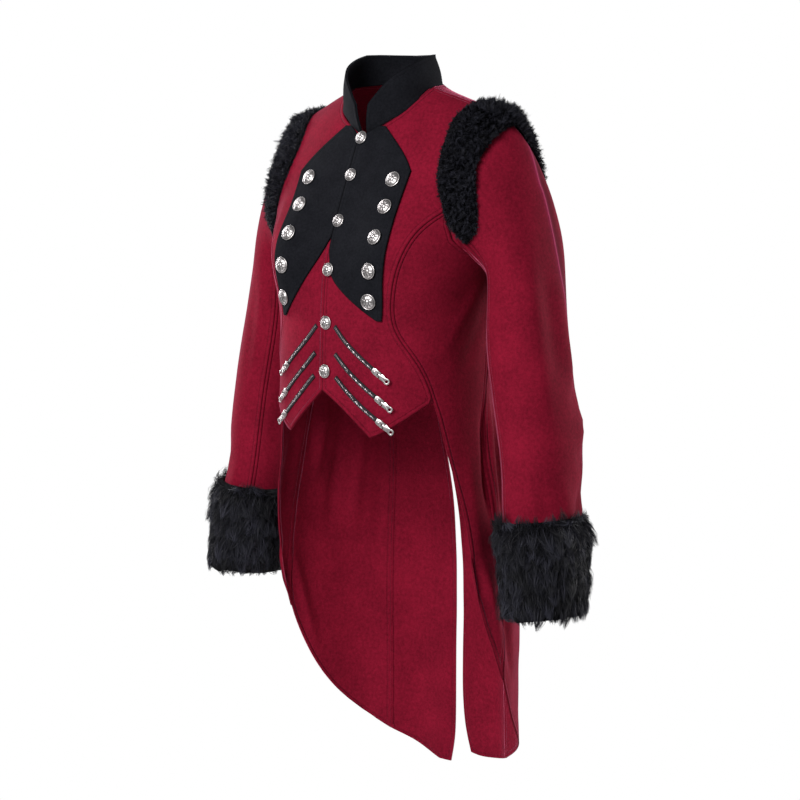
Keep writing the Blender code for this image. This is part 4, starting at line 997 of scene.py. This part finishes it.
def hair_strips(name, root, bend, tip, width, facing, tone, material):
    """One mesh of narrowing strips. root, bend and tip are the three points of each
    hair's arc, facing the direction its flat side looks in, tone a number from 0 to 1."""
    count = len(root)
    t = np.linspace(0, 1, HAIR_STEPS + 1)[None, :, None]
    line = ((1 - t)**2 * root[:, None] + 2 * t * (1 - t) * bend[:, None] + t**2 * tip[:, None])
    along = np.gradient(line, axis=1)
    across = unit(np.cross(along, facing[:, None]))
    narrow = (1 - t[:, :-1]**HAIR_TAPER) * width[:, None, None] / 2
    left = line[:, :-1] - across[:, :-1] * narrow
    right = line[:, :-1] + across[:, :-1] * narrow
    pairs = np.stack([left, right], 2).reshape(count, -1, 3)
    points = np.concatenate([pairs, line[:, -1:]], axis=1)
    per_hair = points.shape[1]
    start = np.arange(count)[:, None] * per_hair
    quads = [np.array([2 * k, 2 * k + 1, 2 * k + 3, 2 * k + 2]) for k in range(HAIR_STEPS - 1)]
    ends = np.array([per_hair - 3, per_hair - 2, per_hair - 1])
    faces = [row.tolist() for quad in quads for row in start + quad] + (start + ends).tolist()
    mesh = bpy.data.meshes.new(name)
    mesh.from_pydata(points.reshape(-1, 3).tolist(), [], faces)
    mesh.materials.append(material)
    smooth(mesh)
    lightness = np.concatenate([np.repeat(ROOT_TONE + (1 - ROOT_TONE) * t[0, :-1, 0], 2), [1.0]])
    shade = (tone[:, None] * lightness[None]).astype(np.float32)
    mesh.attributes.new("tone", "FLOAT", "POINT").data.foreach_set("value", shade.ravel())
    made = bpy.data.objects.new(name, mesh)
    bpy.context.scene.collection.objects.link(made)
    return made


def fur_pieces(kind, side, base, strips):
    """The backing from its bmesh and the hair from its strips, both in place of the solid."""
    node = f"fur_{kind}_{side}"
    piece = new_object(f"fur_base_{kind}_{side}", base, backing)
    smooth(piece.data)
    tie(piece, node)
    hairs = hair_strips(f"fur_hair_{kind}_{side}", *strips, hair)
    tie(hairs, node)
    print(hairs.name, len(hairs.data.polygons), "faces")


def nearest_lock(places, spots):
    """For each spot the number of the lock whose place is nearest."""
    search = point_tree(places)
    return np.array([search.find(spot)[1] for spot in spots])


# %% Sizes of the cuffs' hair
CUFF_HAIRS = 30000
CUFF_LOCKS = 560
CUFF_HAIR_WIDTH = (0.0004, 0.0010)
CUFF_FALL = (0.007, 0.022)      # how far a hair's tip hangs below its root
CUFF_TOP = 0.016                # hairs nearer to the top than this may stand out or up
CUFF_TOP_RISE = (-0.002, 0.019)
CUFF_SHORT = 0.004              # the backing ends this far above the solid's end
CUFF_LOW_DRAW = 0.0075          # how much closer the lower tips hang
CUFF_BASE_DEPTH = 0.5           # the backing's share of the pile
CUFF_INSET = (0.006, 0.012)     # the pile is looked up this far from the solid's two ends
CUFF_LINING = 0.002             # points this near to the solid's inner wall stay
CUFF_LOWEST_ROOT = 0.004
CUFF_LOWEST_TIP = (-0.001, 0.010)  # from the solid's lower end
CUFF_TURN = 5                   # degrees by which tips turn round the sleeve
CUFF_ROOT_DEPTH = 0.15
CUFF_PAST_END = 0.003           # tips past the ends lie this much closer
CUFF_RAGGED = 0.0020
CUFF_LOCK_SPREAD = 0.0035
CUFF_LOCK_OUT = (0.0008, 0.0016)   # mean and spread of how far a lock's tip stands out
CUFF_PULL = (0.4, 0.9)          # how far a hair's tip goes to its lock's
CUFF_ARCH = 0.75                # how far a hair bows out, as a part of its length
CUFF_ARCH_RANGE = (0.5, 0.9)
CUFF_CURL = 0.0018
CUFF_TWIST = 0.55
CUFF_TONE = (0.5, 1.3)
CUFF_DARKEST = 0.08
CUFF_SEEDS = {"left": 11, "right": 12}
TUBE_REACH = 0.12               # further than the fur is from the sleeve's middle
print(CUFF_HAIRS, "hairs in", CUFF_LOCKS, "locks on each cuff")

# %% The backing of a cuff


def tube_radii(tree, axis, degrees, z):
    """The first and last distance from the tube's middle to a fur solid and the way out
    to it, or None."""
    direction = level_way(degrees)
    middle = axis(z)
    hit = tree.ray_cast(middle, direction, TUBE_REACH)
    if hit[0] is None:
        return None
    back = tree.ray_cast(middle + direction * TUBE_REACH, -direction, TUBE_REACH)
    if back[0] is None:
        return None
    return hit[3], TUBE_REACH - back[3], direction


def cuff_backing(node, axis, tree, low, high):
    """The solid with its outer wall brought in to half the pile, and a little shorter."""
    base = joined_copy(node)
    for vertex in base.verts:
        if vertex.co.z < low.z + 1.5 * CUFF_SHORT:
            vertex.co.z += CUFF_SHORT
        middle = axis(vertex.co.z)
        reach = vertex.co - middle
        reach.z = 0
        z = min(max(vertex.co.z, low.z + CUFF_INSET[0]), high.z - CUFF_INSET[1])
        radii = tube_radii(tree, axis, math.degrees(math.atan2(reach.x, -reach.y)), z)
        if radii and reach.length > radii[0] + CUFF_LINING:
            wanted = radii[0] + CUFF_BASE_DEPTH * (reach.length - radii[0])
            vertex.co = middle + reach.normalized() * wanted
    return base


# %% Where a cuff's hairs start and end


def drawn_in(down):
    """How much closer tips hang at a share of the way down, least at both ends."""
    return CUFF_LOW_DRAW * (ease((down - 0.2) / 0.3) - 0.45 * ease((down - 0.75) / 0.25))


def cuff_ends(axis, tree, low, high, random):
    """The root, the tip and the outward direction of every hair."""
    ends = []
    while len(ends) < CUFF_HAIRS:
        degrees = random.uniform(-180, 180)
        z = random.uniform(low.z + CUFF_LOWEST_ROOT, high.z)
        at_root = tube_radii(tree, axis, degrees, z)
        if not at_root:
            continue
        fall = random.uniform(*CUFF_FALL)
        if not tube_radii(tree, axis, degrees, z + CUFF_TOP * random.uniform(0.15, 1.0)):
            fall = -random.uniform(*CUFF_TOP_RISE)
        near, far, out = at_root
        past_end = (near, far - CUFF_PAST_END, out)
        at_tip = tube_radii(tree, axis, degrees + random.normal(0, CUFF_TURN), z - fall)
        _, outer, tip_out = at_tip or past_end
        tip_z = max(z - fall, low.z + random.uniform(*CUFF_LOWEST_TIP))
        outer -= drawn_in((high.z - tip_z) / (high.z - low.z))
        root = axis(z) + out * (near + CUFF_ROOT_DEPTH * (far - near))
        tip = axis(tip_z) + tip_out * (outer + random.normal(0.0, CUFF_RAGGED))
        ends.append((root, tip, out))
    return np.array(ends).transpose(1, 0, 2)


# %% Cuff fur


def cuff_fur(side):
    """Backing and hair of one cuff."""
    node = f"fur_cuff_{side}"
    place = (sleeve_axis(side), solid_tree([node]), *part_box(node))
    random = np.random.default_rng(CUFF_SEEDS[side])
    base = cuff_backing(node, *place)
    root, tip, out = cuff_ends(*place, random)
    chosen = random.choice(CUFF_HAIRS, CUFF_LOCKS, replace=False)
    lock_tips = tip[chosen] + random.normal(0, CUFF_LOCK_SPREAD, (CUFF_LOCKS, 3))
    lock_tips += out[chosen] * random.normal(*CUFF_LOCK_OUT, (CUFF_LOCKS, 1))
    lock = nearest_lock(tip[chosen], tip)
    tip = tip + random.uniform(*CUFF_PULL, CUFF_HAIRS)[:, None] * (lock_tips[lock] - tip)
    arch = CUFF_ARCH * np.linalg.norm(tip - root, axis=1)
    arch *= random.uniform(*CUFF_ARCH_RANGE, CUFF_HAIRS)
    bend = root + out * arch[:, None] + random.normal(0, CUFF_CURL, out.shape)
    facing = unit(out + random.normal(0, CUFF_TWIST, out.shape))
    width = random.uniform(*CUFF_HAIR_WIDTH, CUFF_HAIRS)
    lock_tone = CUFF_DARKEST + (1 - CUFF_DARKEST) * random.random(CUFF_LOCKS)**2
    tone = np.clip(lock_tone[lock] * random.uniform(*CUFF_TONE, CUFF_HAIRS), 0, 1)
    fur_pieces("cuff", side, base, (root, bend, tip, width, facing, tone))


for side in SIDES:
    cuff_fur(side)

# %% Sizes of the armholes' hair
ARMHOLE_HAIRS = 27000
ARMHOLE_LOCKS = 2400
ARMHOLE_HAIR_WIDTH = (0.0004, 0.0009)
ARMHOLE_TUFT = 0.0022           # how unevenly the locks stand up
ARMHOLE_LOWER = {"left": 0.0008, "right": 0.0028}  # how far the pile is pressed down
ARMHOLE_LEAN = 0.0034           # how far a lock leans along the cloth
ARMHOLE_SAG = Vector((0, 0, -0.0015))   # and all of them lean down
ARMHOLE_DEEP = 0.012            # a pile this deep leans in full
ARMHOLE_BASE_DEPTH = 0.40
ARMHOLE_BASE = 0.003            # the backing stays at least this far from the cloth
ARMHOLE_WALL = -0.25            # faces that stand upright, or lean over this little, bear hair
ARMHOLE_SPREAD = 0.0022         # how far the hair of an upright face leans out
ARMHOLE_PULL = (0.2, 0.8)       # how far a hair's tip goes to its lock's
ARMHOLE_RAGGED = 0.0012
ARMHOLE_ROOT_DEPTH = 0.2
ARMHOLE_ROOT_LEAN = 0.4         # a root stands this part of the lean the other way
ARMHOLE_ARCH = 0.25
ARMHOLE_CURL = 0.0022
ARMHOLE_TWIST = 0.7
ARMHOLE_TONE = (0.5, 1.2)
ARMHOLE_LOCK_TONE = (0.15, 0.75)
ARMHOLE_SEEDS = {"left": 21, "right": 22}
print(ARMHOLE_HAIRS, "hairs in", ARMHOLE_LOCKS, "locks on each armhole")

# %% Where the armhole's hair grows


def hairy_triangles(base, cloth):
    """The corners and the size of each triangle that bears hair, and how its hair spreads."""
    base.normal_update()
    corners = []
    spreads = []
    sizes = []
    for face in base.faces:
        centre = face.calc_center_median()
        upright = (centre - cloth.find_nearest(centre)[0]).normalized().dot(face.normal)
        if upright > ARMHOLE_WALL:
            first = face.verts[0].co
            for second, third in zip(face.verts[1:], face.verts[2:]):
                corners.append([first.copy(), second.co.copy(), third.co.copy()])
                sizes.append((second.co - first).cross(third.co - first).length)
                spreads.append(face.normal * max(0.0, 1 - upright))
    return np.array(corners), np.array(sizes), ARMHOLE_SPREAD * np.array(spreads)


def spots_on(triangles, random):
    """A random place on each triangle."""
    u, v = random.random((2, len(triangles), 1))
    u, v = np.where(u + v > 1, 1 - u, u), np.where(u + v > 1, 1 - v, v)
    a, b, c = triangles.transpose(1, 0, 2)
    return a + u * (b - a) + v * (c - a)


def armhole_backing(base, cloth):
    """Presses the solid's outer wall down to the backing."""
    for vertex in base.verts:
        under = cloth.find_nearest(vertex.co)[0]
        gap = vertex.co - under
        if gap.length > ARMHOLE_BASE:
            vertex.co = under + gap * max(ARMHOLE_BASE_DEPTH, ARMHOLE_BASE / gap.length)


# %% Armhole fur


def armhole_fur(side):
    """Backing and short curled hair of one armhole."""
    random = np.random.default_rng(ARMHOLE_SEEDS[side])
    cloth = solid_tree([f"{name}_{side}" for name in CUTS])
    base = joined_copy(f"fur_armhole_{side}")
    triangles, sizes, spreads = hairy_triangles(base, cloth)
    chosen = random.choice(len(sizes), ARMHOLE_HAIRS, p=sizes / sizes.sum())
    surface = spots_on(triangles[chosen], random)
    below = np.array([cloth.find_nearest(spot)[0] for spot in surface])
    out = unit(surface - below)
    depth = np.linalg.norm(surface - below, axis=1)[:, None]
    lock_at = surface[random.choice(ARMHOLE_HAIRS, ARMHOLE_LOCKS, replace=False)]
    lean = random.normal(0, ARMHOLE_LEAN, (ARMHOLE_LOCKS, 3)) + ARMHOLE_SAG
    lock = nearest_lock(lock_at, surface)
    sideways = lean[lock] - (lean[lock] * out).sum(1, keepdims=True) * out
    sideways = sideways * (depth / ARMHOLE_DEEP).clip(0.25, 1) + spreads[chosen]
    together = (lock_at[lock] - surface) * random.uniform(*ARMHOLE_PULL, ARMHOLE_HAIRS)[:, None]
    ragged = random.normal(0.0, ARMHOLE_RAGGED, ARMHOLE_HAIRS)
    ragged += random.normal(0, ARMHOLE_TUFT, ARMHOLE_LOCKS)[lock] - ARMHOLE_LOWER[side]
    tip = surface + sideways + together + out * ragged[:, None]
    root = below + out * ARMHOLE_ROOT_DEPTH * depth - sideways * ARMHOLE_ROOT_LEAN
    bend = (root + tip) / 2 + out * ARMHOLE_ARCH * depth + random.normal(0, ARMHOLE_CURL, out.shape)
    facing = unit(out + random.normal(0, ARMHOLE_TWIST, out.shape))
    width = random.uniform(*ARMHOLE_HAIR_WIDTH, ARMHOLE_HAIRS)
    lock_tone = random.uniform(*ARMHOLE_LOCK_TONE, ARMHOLE_LOCKS)
    tone = np.clip(lock_tone[lock] * random.uniform(*ARMHOLE_TONE, ARMHOLE_HAIRS), 0, 1)
    armhole_backing(base, cloth)
    fur_pieces("armhole", side, base, (root, bend, tip, width, facing, tone))


for side in SIDES:
    armhole_fur(side)

# %% [markdown]
# ## Metal finishes
# The buttons, sliders and tabs are nickel-coloured castings: bright where they are rubbed
# and dark where tarnish stays in the hollows. The zip's teeth are a darker gunmetal. One
# group mixes the wear from fine scratches, soft clouds and a hollow mark that the buttons
# carry, and both metals use it with their own colours.

# %% A wear group for both metals
LONG_SCRATCH = (1.0, 1.0, 0.22)  # scratches are drawn out along Z
NO_WEAR = 0.26                  # noise below this leaves the metal bright
wear_group, wear_in, wear_out = new_group(
    "metal_wear",
    {"Place": (0.0, 0.0, 0.0), "Hollow": 0.0, "Scratch scale": 1400.0, "Cloud scale": 260.0},
    ["Dark", "Height"])
place, hollow, scratch_scale, cloud_scale = list(wear_in.outputs)[:4]
scratch = noise(wear_group, place, scratch_scale, 2.0, LONG_SCRATCH)
smudge = noise(wear_group, place, cloud_scale, 3.0)
worn = weighted(wear_group, (scratch, 0.35), (smudge, 0.45), (hollow, 1.0))
worn = between(wear_group, maths(wear_group, "SUBTRACT", worn, NO_WEAR))
wear_group.links.new(worn, wear_out.inputs["Dark"])
wear_group.links.new(scratch, wear_out.inputs["Height"])
print("group", wear_group.name)

# %% The metals and the zips' tape
SCRATCH_DEPTH = 0.00003


def worn_metal(name, bright, dark, least_rough, most_rough):
    """A metal that goes from bright and smooth to dark and rough as it wears."""
    made = new_material(name, Metallic=1.0)
    tree = made.node_tree
    shader = tree.nodes["Principled BSDF"]
    place = tree.nodes.new("ShaderNodeTexCoord").outputs["Object"]
    wear = use_group(tree, wear_group, Place=place, Hollow=attribute(tree, "hollow"))
    tree.links.new(ramp(tree, wear["Dark"], bright, dark), shader.inputs["Base Color"])
    roughness = maths(tree, "MULTIPLY_ADD", wear["Dark"], most_rough - least_rough, least_rough)
    tree.links.new(roughness, shader.inputs["Roughness"])
    bump(tree, maths(tree, "MULTIPLY", wear["Height"], SCRATCH_DEPTH))
    return made


silver = worn_metal("worn_silver", (0.66, 0.63, 0.63, 1), (0.050, 0.046, 0.050, 1), 0.30, 0.62)
gunmetal = worn_metal("gunmetal", (0.50, 0.46, 0.48, 1), (0.10, 0.09, 0.10, 1), 0.40, 0.60)
tape = brushed_cloth("zip_tape", (0.0110, 0.0090, 0.0120, 1), (0.0260, 0.0210, 0.0270, 1),
                     1500, 120, 0.0003, Roughness=0.85, Specular_IOR_Level=0.3)
print("metals", silver.name, gunmetal.name, "and", tape.name)

# %% [markdown]
# ## Buttons
# Each button is a low dome with a raised rim round a pressed rosette: eight petals about a
# bead. It is turned like a bowl: half of its section is drawn once and spun about the
# button's axis. The petals are then pressed in by lowering the valleys between them, and
# the valleys are marked so that tarnish gathers there. Where a button sits, and which way
# it looks, is read from the flat back of its solid.

# %% Spin and press a button
FLAT = math.radians(1)
MERGED = 1e-6
BUTTON_STEPS = 48
BUTTON_TALL = 0.0045
PETALS = 8
PETAL_BAND = (0.32, 0.84)       # from the bead to the groove, as parts of the radius
PETAL_DEPTH = 0.00050
PETAL_TARNISH = 0.9             # how hollow the deepest valley counts
# Half of the section, as parts of the radius and height, with how hollow each place is.
BUTTON_SECTION = [
    (0.0, 0.0, 0.0), (0.95, 0.0, 0.0), (1.0, 0.07, 0.0), (1.0, 0.24, 0.0), (0.975, 0.34, 0.0),
    (0.93, 0.385, 0.0), (0.885, 0.36, 0.15), (0.855, 0.30, 0.8), (0.83, 0.33, 0.7),
    (0.80, 0.44, 0.1), (0.72, 0.58, 0.0), (0.62, 0.71, 0.0), (0.52, 0.81, 0.0),
    (0.42, 0.875, 0.0), (0.34, 0.88, 0.2), (0.30, 0.84, 0.8), (0.265, 0.87, 0.6),
    (0.22, 0.96, 0.0), (0.13, 1.02, 0.0), (0.0, 1.04, 0.0)]


def flat_faced_copy(node):
    """A CAD node's mesh with each flat face in one piece."""
    bm = joined_copy(node)
    bmesh.ops.dissolve_limit(bm, angle_limit=FLAT, verts=bm.verts, edges=bm.edges)
    return bm


def flat_back(node):
    """The centre of a solid's flat back, the direction it looks away from, and its reach."""
    bm = flat_faced_copy(node)
    back = max(bm.faces, key=lambda face: face.calc_area())
    centre = back.calc_center_median()
    reach = max((v.co - centre).length for v in back.verts)
    away = -back.normal
    bm.free()
    return centre, away, reach


def press_petals(bm, hollow, radius):
    """Lowers the valleys between the petals, and marks them as hollow."""
    inner, outer = PETAL_BAND
    for vertex in bm.verts:
        across = vertex.co.xy.length / radius
        if inner < across < outer and vertex.co.z > 0:
            band = (across - inner) / (outer - inner)
            turn = math.atan2(vertex.co.y, vertex.co.x)
            valley = (1 - abs(math.sin(turn * PETALS / 2)))**1.5
            valley *= math.sin(math.pi * min(band + 0.15, 1.0))**0.5
            vertex.co.z -= PETAL_DEPTH * valley
            vertex[hollow] = max(vertex[hollow], PETAL_TARNISH * valley)


def rosette_button(node):
    """One button in place of its solid."""
    centre, away, radius = flat_back(node)
    bm = bmesh.new()
    hollow = bm.verts.layers.float.new("hollow")
    line = []
    for across, up, depth in BUTTON_SECTION:
        vertex = bm.verts.new((radius * across, 0, BUTTON_TALL * up))
        vertex[hollow] = depth
        line.append(vertex)
    edges = [bm.edges.new(pair) for pair in zip(line, line[1:])]
    bmesh.ops.spin(bm, geom=line + edges, cent=(0, 0, 0), axis=(0, 0, 1), angle=math.tau,
                   steps=BUTTON_STEPS, use_merge=True)
    bmesh.ops.remove_doubles(bm, verts=bm.verts, dist=MERGED)
    bmesh.ops.recalc_face_normals(bm, faces=bm.faces)
    press_petals(bm, hollow, radius)
    place = Matrix.Translation(centre) @ away.to_track_quat("Z", "Y").to_matrix().to_4x4()
    bmesh.ops.transform(bm, matrix=place, verts=bm.verts)
    button = new_object(f"rosette_{node}", bm, silver)
    smooth(button.data, sharp=True)
    tie(button, node)
    return button


BUTTON_NODES = [f"button_plastron_{side}_{i}" for side in SIDES for i in range(1, 6)]
BUTTON_NODES += [f"button_front_{i}" for i in range(1, 7)]
for node in BUTTON_NODES:
    made = rosette_button(node)
print(len(BUTTON_NODES), "buttons of", len(made.data.polygons), "faces each")

# %% [markdown]
# ## Zips
# Each short zip is a dark woven tape with a row of metal teeth down its middle. The frame's
# strip is the tape, and only gets its cloth. A tooth is a small bevelled block, and the
# teeth of the two sides take turns, half a tooth to the left and half to the right.

# %% Teeth along the tape
ZIP_LEVELS = ("upper", "middle", "lower")
STRIP_SECTION = 6               # points in each cross-section of the strip
TOOTH = (0.0010, 0.0026, 0.0016)
TOOTH_PITCH = 0.00135
TOOTH_SHIFT = 0.0005
TOOTH_SUNK = 0.00025
TOOTH_EDGE = 0.00018


def strip_line(node):
    """The strip's cross-sections from end to end: middle, outward direction and height."""
    bm = joined_copy(node)
    points = np.array([v.co for v in bm.verts])
    bm.free()
    middle = points.mean(0)
    long_way = np.linalg.svd(points - middle)[2][0]
    order = np.argsort((points - middle) @ long_way)
    sections = []
    for chunk in points[order].reshape(-1, STRIP_SECTION, 3):
        centre = chunk.mean(0)
        out = np.linalg.svd(chunk - centre)[2][2]
        if out @ (centre - np.array([0, BODY_AXIS_Y, centre[2]])) < 0:
            out = -out
        sections.append((centre, out, ((chunk - centre) @ out).max()))
    return sections


def one_tooth():
    """The bevelled block that every tooth is a copy of."""
    bm = bmesh.new()
    bmesh.ops.create_cube(bm, size=1.0)
    bmesh.ops.scale(bm, vec=TOOTH, verts=bm.verts)
    bmesh.ops.bevel(bm, geom=bm.edges[:], offset=TOOTH_EDGE, offset_type="OFFSET", segments=1,
                    profile=0.5, affect="EDGES", material=-1)
    mesh = bpy.data.meshes.new("tooth")
    bm.to_mesh(mesh)
    bm.free()
    return mesh


def zip_teeth(node, tooth):
    """The row of teeth on one tape."""
    centres, outs, heights = map(np.array, zip(*strip_line(node)))
    along = np.concatenate([[0], np.cumsum(np.linalg.norm(np.diff(centres, axis=0), axis=1))])
    count = int((along[-1] - 2 * TOOTH_PITCH) / TOOTH_PITCH)
    bm = bmesh.new()
    for k in range(count):
        at = TOOTH_PITCH * (k + 1.5)
        here = Vector([np.interp(at, along, column) for column in centres.T])
        ahead = Vector([np.interp(at + TOOTH_PITCH, along, column) for column in centres.T])
        out = Vector([np.interp(at, along, column) for column in outs.T])
        height = np.interp(at, along, heights)
        forward = (ahead - here).normalized()
        out = (out - forward * out.dot(forward)).normalized()
        across = out.cross(forward)
        side_shift = TOOTH_SHIFT if k % 2 else -TOOTH_SHIFT
        place = Matrix((forward, across, out)).transposed().to_4x4()
        place.translation = here + out * (height + TOOTH[2] / 2 - TOOTH_SUNK) + across * side_shift
        before = len(bm.verts)
        bm.from_mesh(tooth)
        bmesh.ops.transform(bm, matrix=place, verts=bm.verts[before:])
    teeth = new_object(f"teeth_{node}", bm, gunmetal)
    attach(teeth, COAT)
    return teeth, count


tooth = one_tooth()
for side in SIDES:
    for level in ZIP_LEVELS:
        node = f"zip_{level}_{side}"
        for slot in frame["nodes"][node].material_slots:
            slot.material = tape
        teeth, count = zip_teeth(node, tooth)
        print(teeth.name, count, "teeth")
bpy.data.meshes.remove(tooth)

# %% [markdown]
# ## Sliders and pull tabs
# A slider is two plates with a core between them, so the edges of the tape pass through
# the slots at its sides. A low bridge stands on the upper plate, and a pin across the fork
# holds the pull tab. All are made from the slider's own solid: it is squeezed to a plate,
# copied up, and a narrower copy fills the middle. The tab is its solid with soft edges,
# and it is tied to a body of its own.

# %% Where a slider sits, and what it shares with its tab
PLATE = 0.34                    # the plates' share of the slider's height
CORE = 0.62                     # the core's share of its width
CORE_SPARES = 0.002             # points this near to the middle line aren't narrowed
SOFT_EDGE = 0.00028
BRIDGE = dict(middle=-0.0052, half_length=0.0026, rise=0.0012, width=0.0018, thick=0.0007,
              steps=10, soft=0.00015)
PIN_RADIUS = 0.00045
PIN_LENGTH = 0.0046
PULLS = {joint["child"]: joint for joint in frame["joints"]}


def soften(bm, offset=SOFT_EDGE):
    """Bevels every edge that turns sharply."""
    bm.normal_update()
    edges = [edge for edge in bm.edges
             if len(edge.link_faces) == 2 and edge.calc_face_angle(0) > SHARP / 2]
    bmesh.ops.bevel(bm, geom=edges, offset=offset, offset_type="OFFSET", segments=2,
                    profile=0.5, affect="EDGES", material=-1, clamp_overlap=True)


def pull_place(level, side):
    """The hinge's place: x along the zip, y along the pin and z away from the cloth."""
    joint = PULLS[f"pull_{level}_{side}"]
    pin = -Vector(joint["axis"]).normalized()
    _, away, _ = flat_back(f"slider_{level}_{side}")
    if away.y > 0:
        away.negate()
    forward = pin.cross(away).normalized()
    place = Matrix((forward, pin, forward.cross(pin))).transposed().to_4x4()
    place.translation = Vector(joint["pos_m"])
    return place


def add_part(bm, part):
    """Adds one bmesh to another."""
    mesh = bpy.data.meshes.new("part")
    part.to_mesh(mesh)
    part.free()
    bm.from_mesh(mesh)
    bpy.data.meshes.remove(mesh)


def casting(node, bm, body):
    """A finished casting in place of a solid."""
    piece = new_object(f"casting_{node}", bm, silver)
    smooth(piece.data, sharp=True)
    tie(piece, node, body)
    return piece


# %% A slider's layers and bridge


def slider_layer(node, to_local, squeeze, shift, narrow):
    """The slider's solid squeezed to a part of its height, moved up and narrowed."""
    part = flat_faced_copy(node)
    bmesh.ops.transform(part, matrix=to_local, verts=part.verts)
    low = min(v.co.z for v in part.verts)
    tall = max(v.co.z for v in part.verts) - low
    for vertex in part.verts:
        vertex.co.z = low + tall * (shift + squeeze * (vertex.co.z - low) / tall)
        vertex.co.y *= narrow if abs(vertex.co.y) > CORE_SPARES else 1.0
    if narrow == 1.0:
        soften(part)
    return part


def slider_bridge(top):
    """A flat bar bent over in an arch, which stands on the upper plate."""
    bridge = bmesh.new()
    section = bmesh.ops.create_grid(bridge, x_segments=1, y_segments=1, size=0.5)["verts"]
    bmesh.ops.scale(bridge, vec=(BRIDGE["thick"], BRIDGE["width"], 1), verts=section)
    bmesh.ops.translate(bridge, vec=(BRIDGE["half_length"], 0, 0), verts=section)
    bmesh.ops.spin(bridge, geom=bridge.verts[:] + bridge.edges[:] + bridge.faces[:],
                   cent=(0, 0, 0), axis=(0, -1, 0), angle=math.pi, steps=BRIDGE["steps"])
    bmesh.ops.recalc_face_normals(bridge, faces=bridge.faces)
    flatter = BRIDGE["rise"] / BRIDGE["half_length"]
    bmesh.ops.scale(bridge, vec=(1, 1, flatter), verts=bridge.verts)
    bmesh.ops.translate(bridge, vec=(BRIDGE["middle"], 0, top - SOFT_EDGE), verts=bridge.verts)
    soften(bridge, BRIDGE["soft"])
    return bridge


# %% Sliders and tabs


def slider(level, side):
    """Two plates, a core, a bridge and a pin."""
    node = f"slider_{level}_{side}"
    place = pull_place(level, side)
    bm = bmesh.new()
    for layer in ((PLATE, 0.0, 1.0), (1 - PLATE, 0.5 * PLATE, CORE), (PLATE, 1 - PLATE, 1.0)):
        add_part(bm, slider_layer(node, place.inverted(), *layer))
    add_part(bm, slider_bridge(max(v.co.z for v in bm.verts)))
    pin = bmesh.new()
    bmesh.ops.create_cone(pin, cap_ends=True, segments=12, radius1=PIN_RADIUS, radius2=PIN_RADIUS,
                          depth=PIN_LENGTH, matrix=Matrix.Rotation(math.pi / 2, 4, "X"))
    add_part(bm, pin)
    bmesh.ops.transform(bm, matrix=place, verts=bm.verts)
    return casting(node, bm, COAT)


def pull_tab(level, side):
    """The tab's own solid with soft edges."""
    node = f"tab_{level}_{side}"
    bm = flat_faced_copy(node)
    soften(bm)
    return casting(node, bm, f"pull_{level}_{side}")


for side in SIDES:
    for level in ZIP_LEVELS:
        made = slider(level, side)
        tab = pull_tab(level, side)
        print(made.name, len(made.data.polygons), "faces and", tab.name, len(tab.data.polygons))
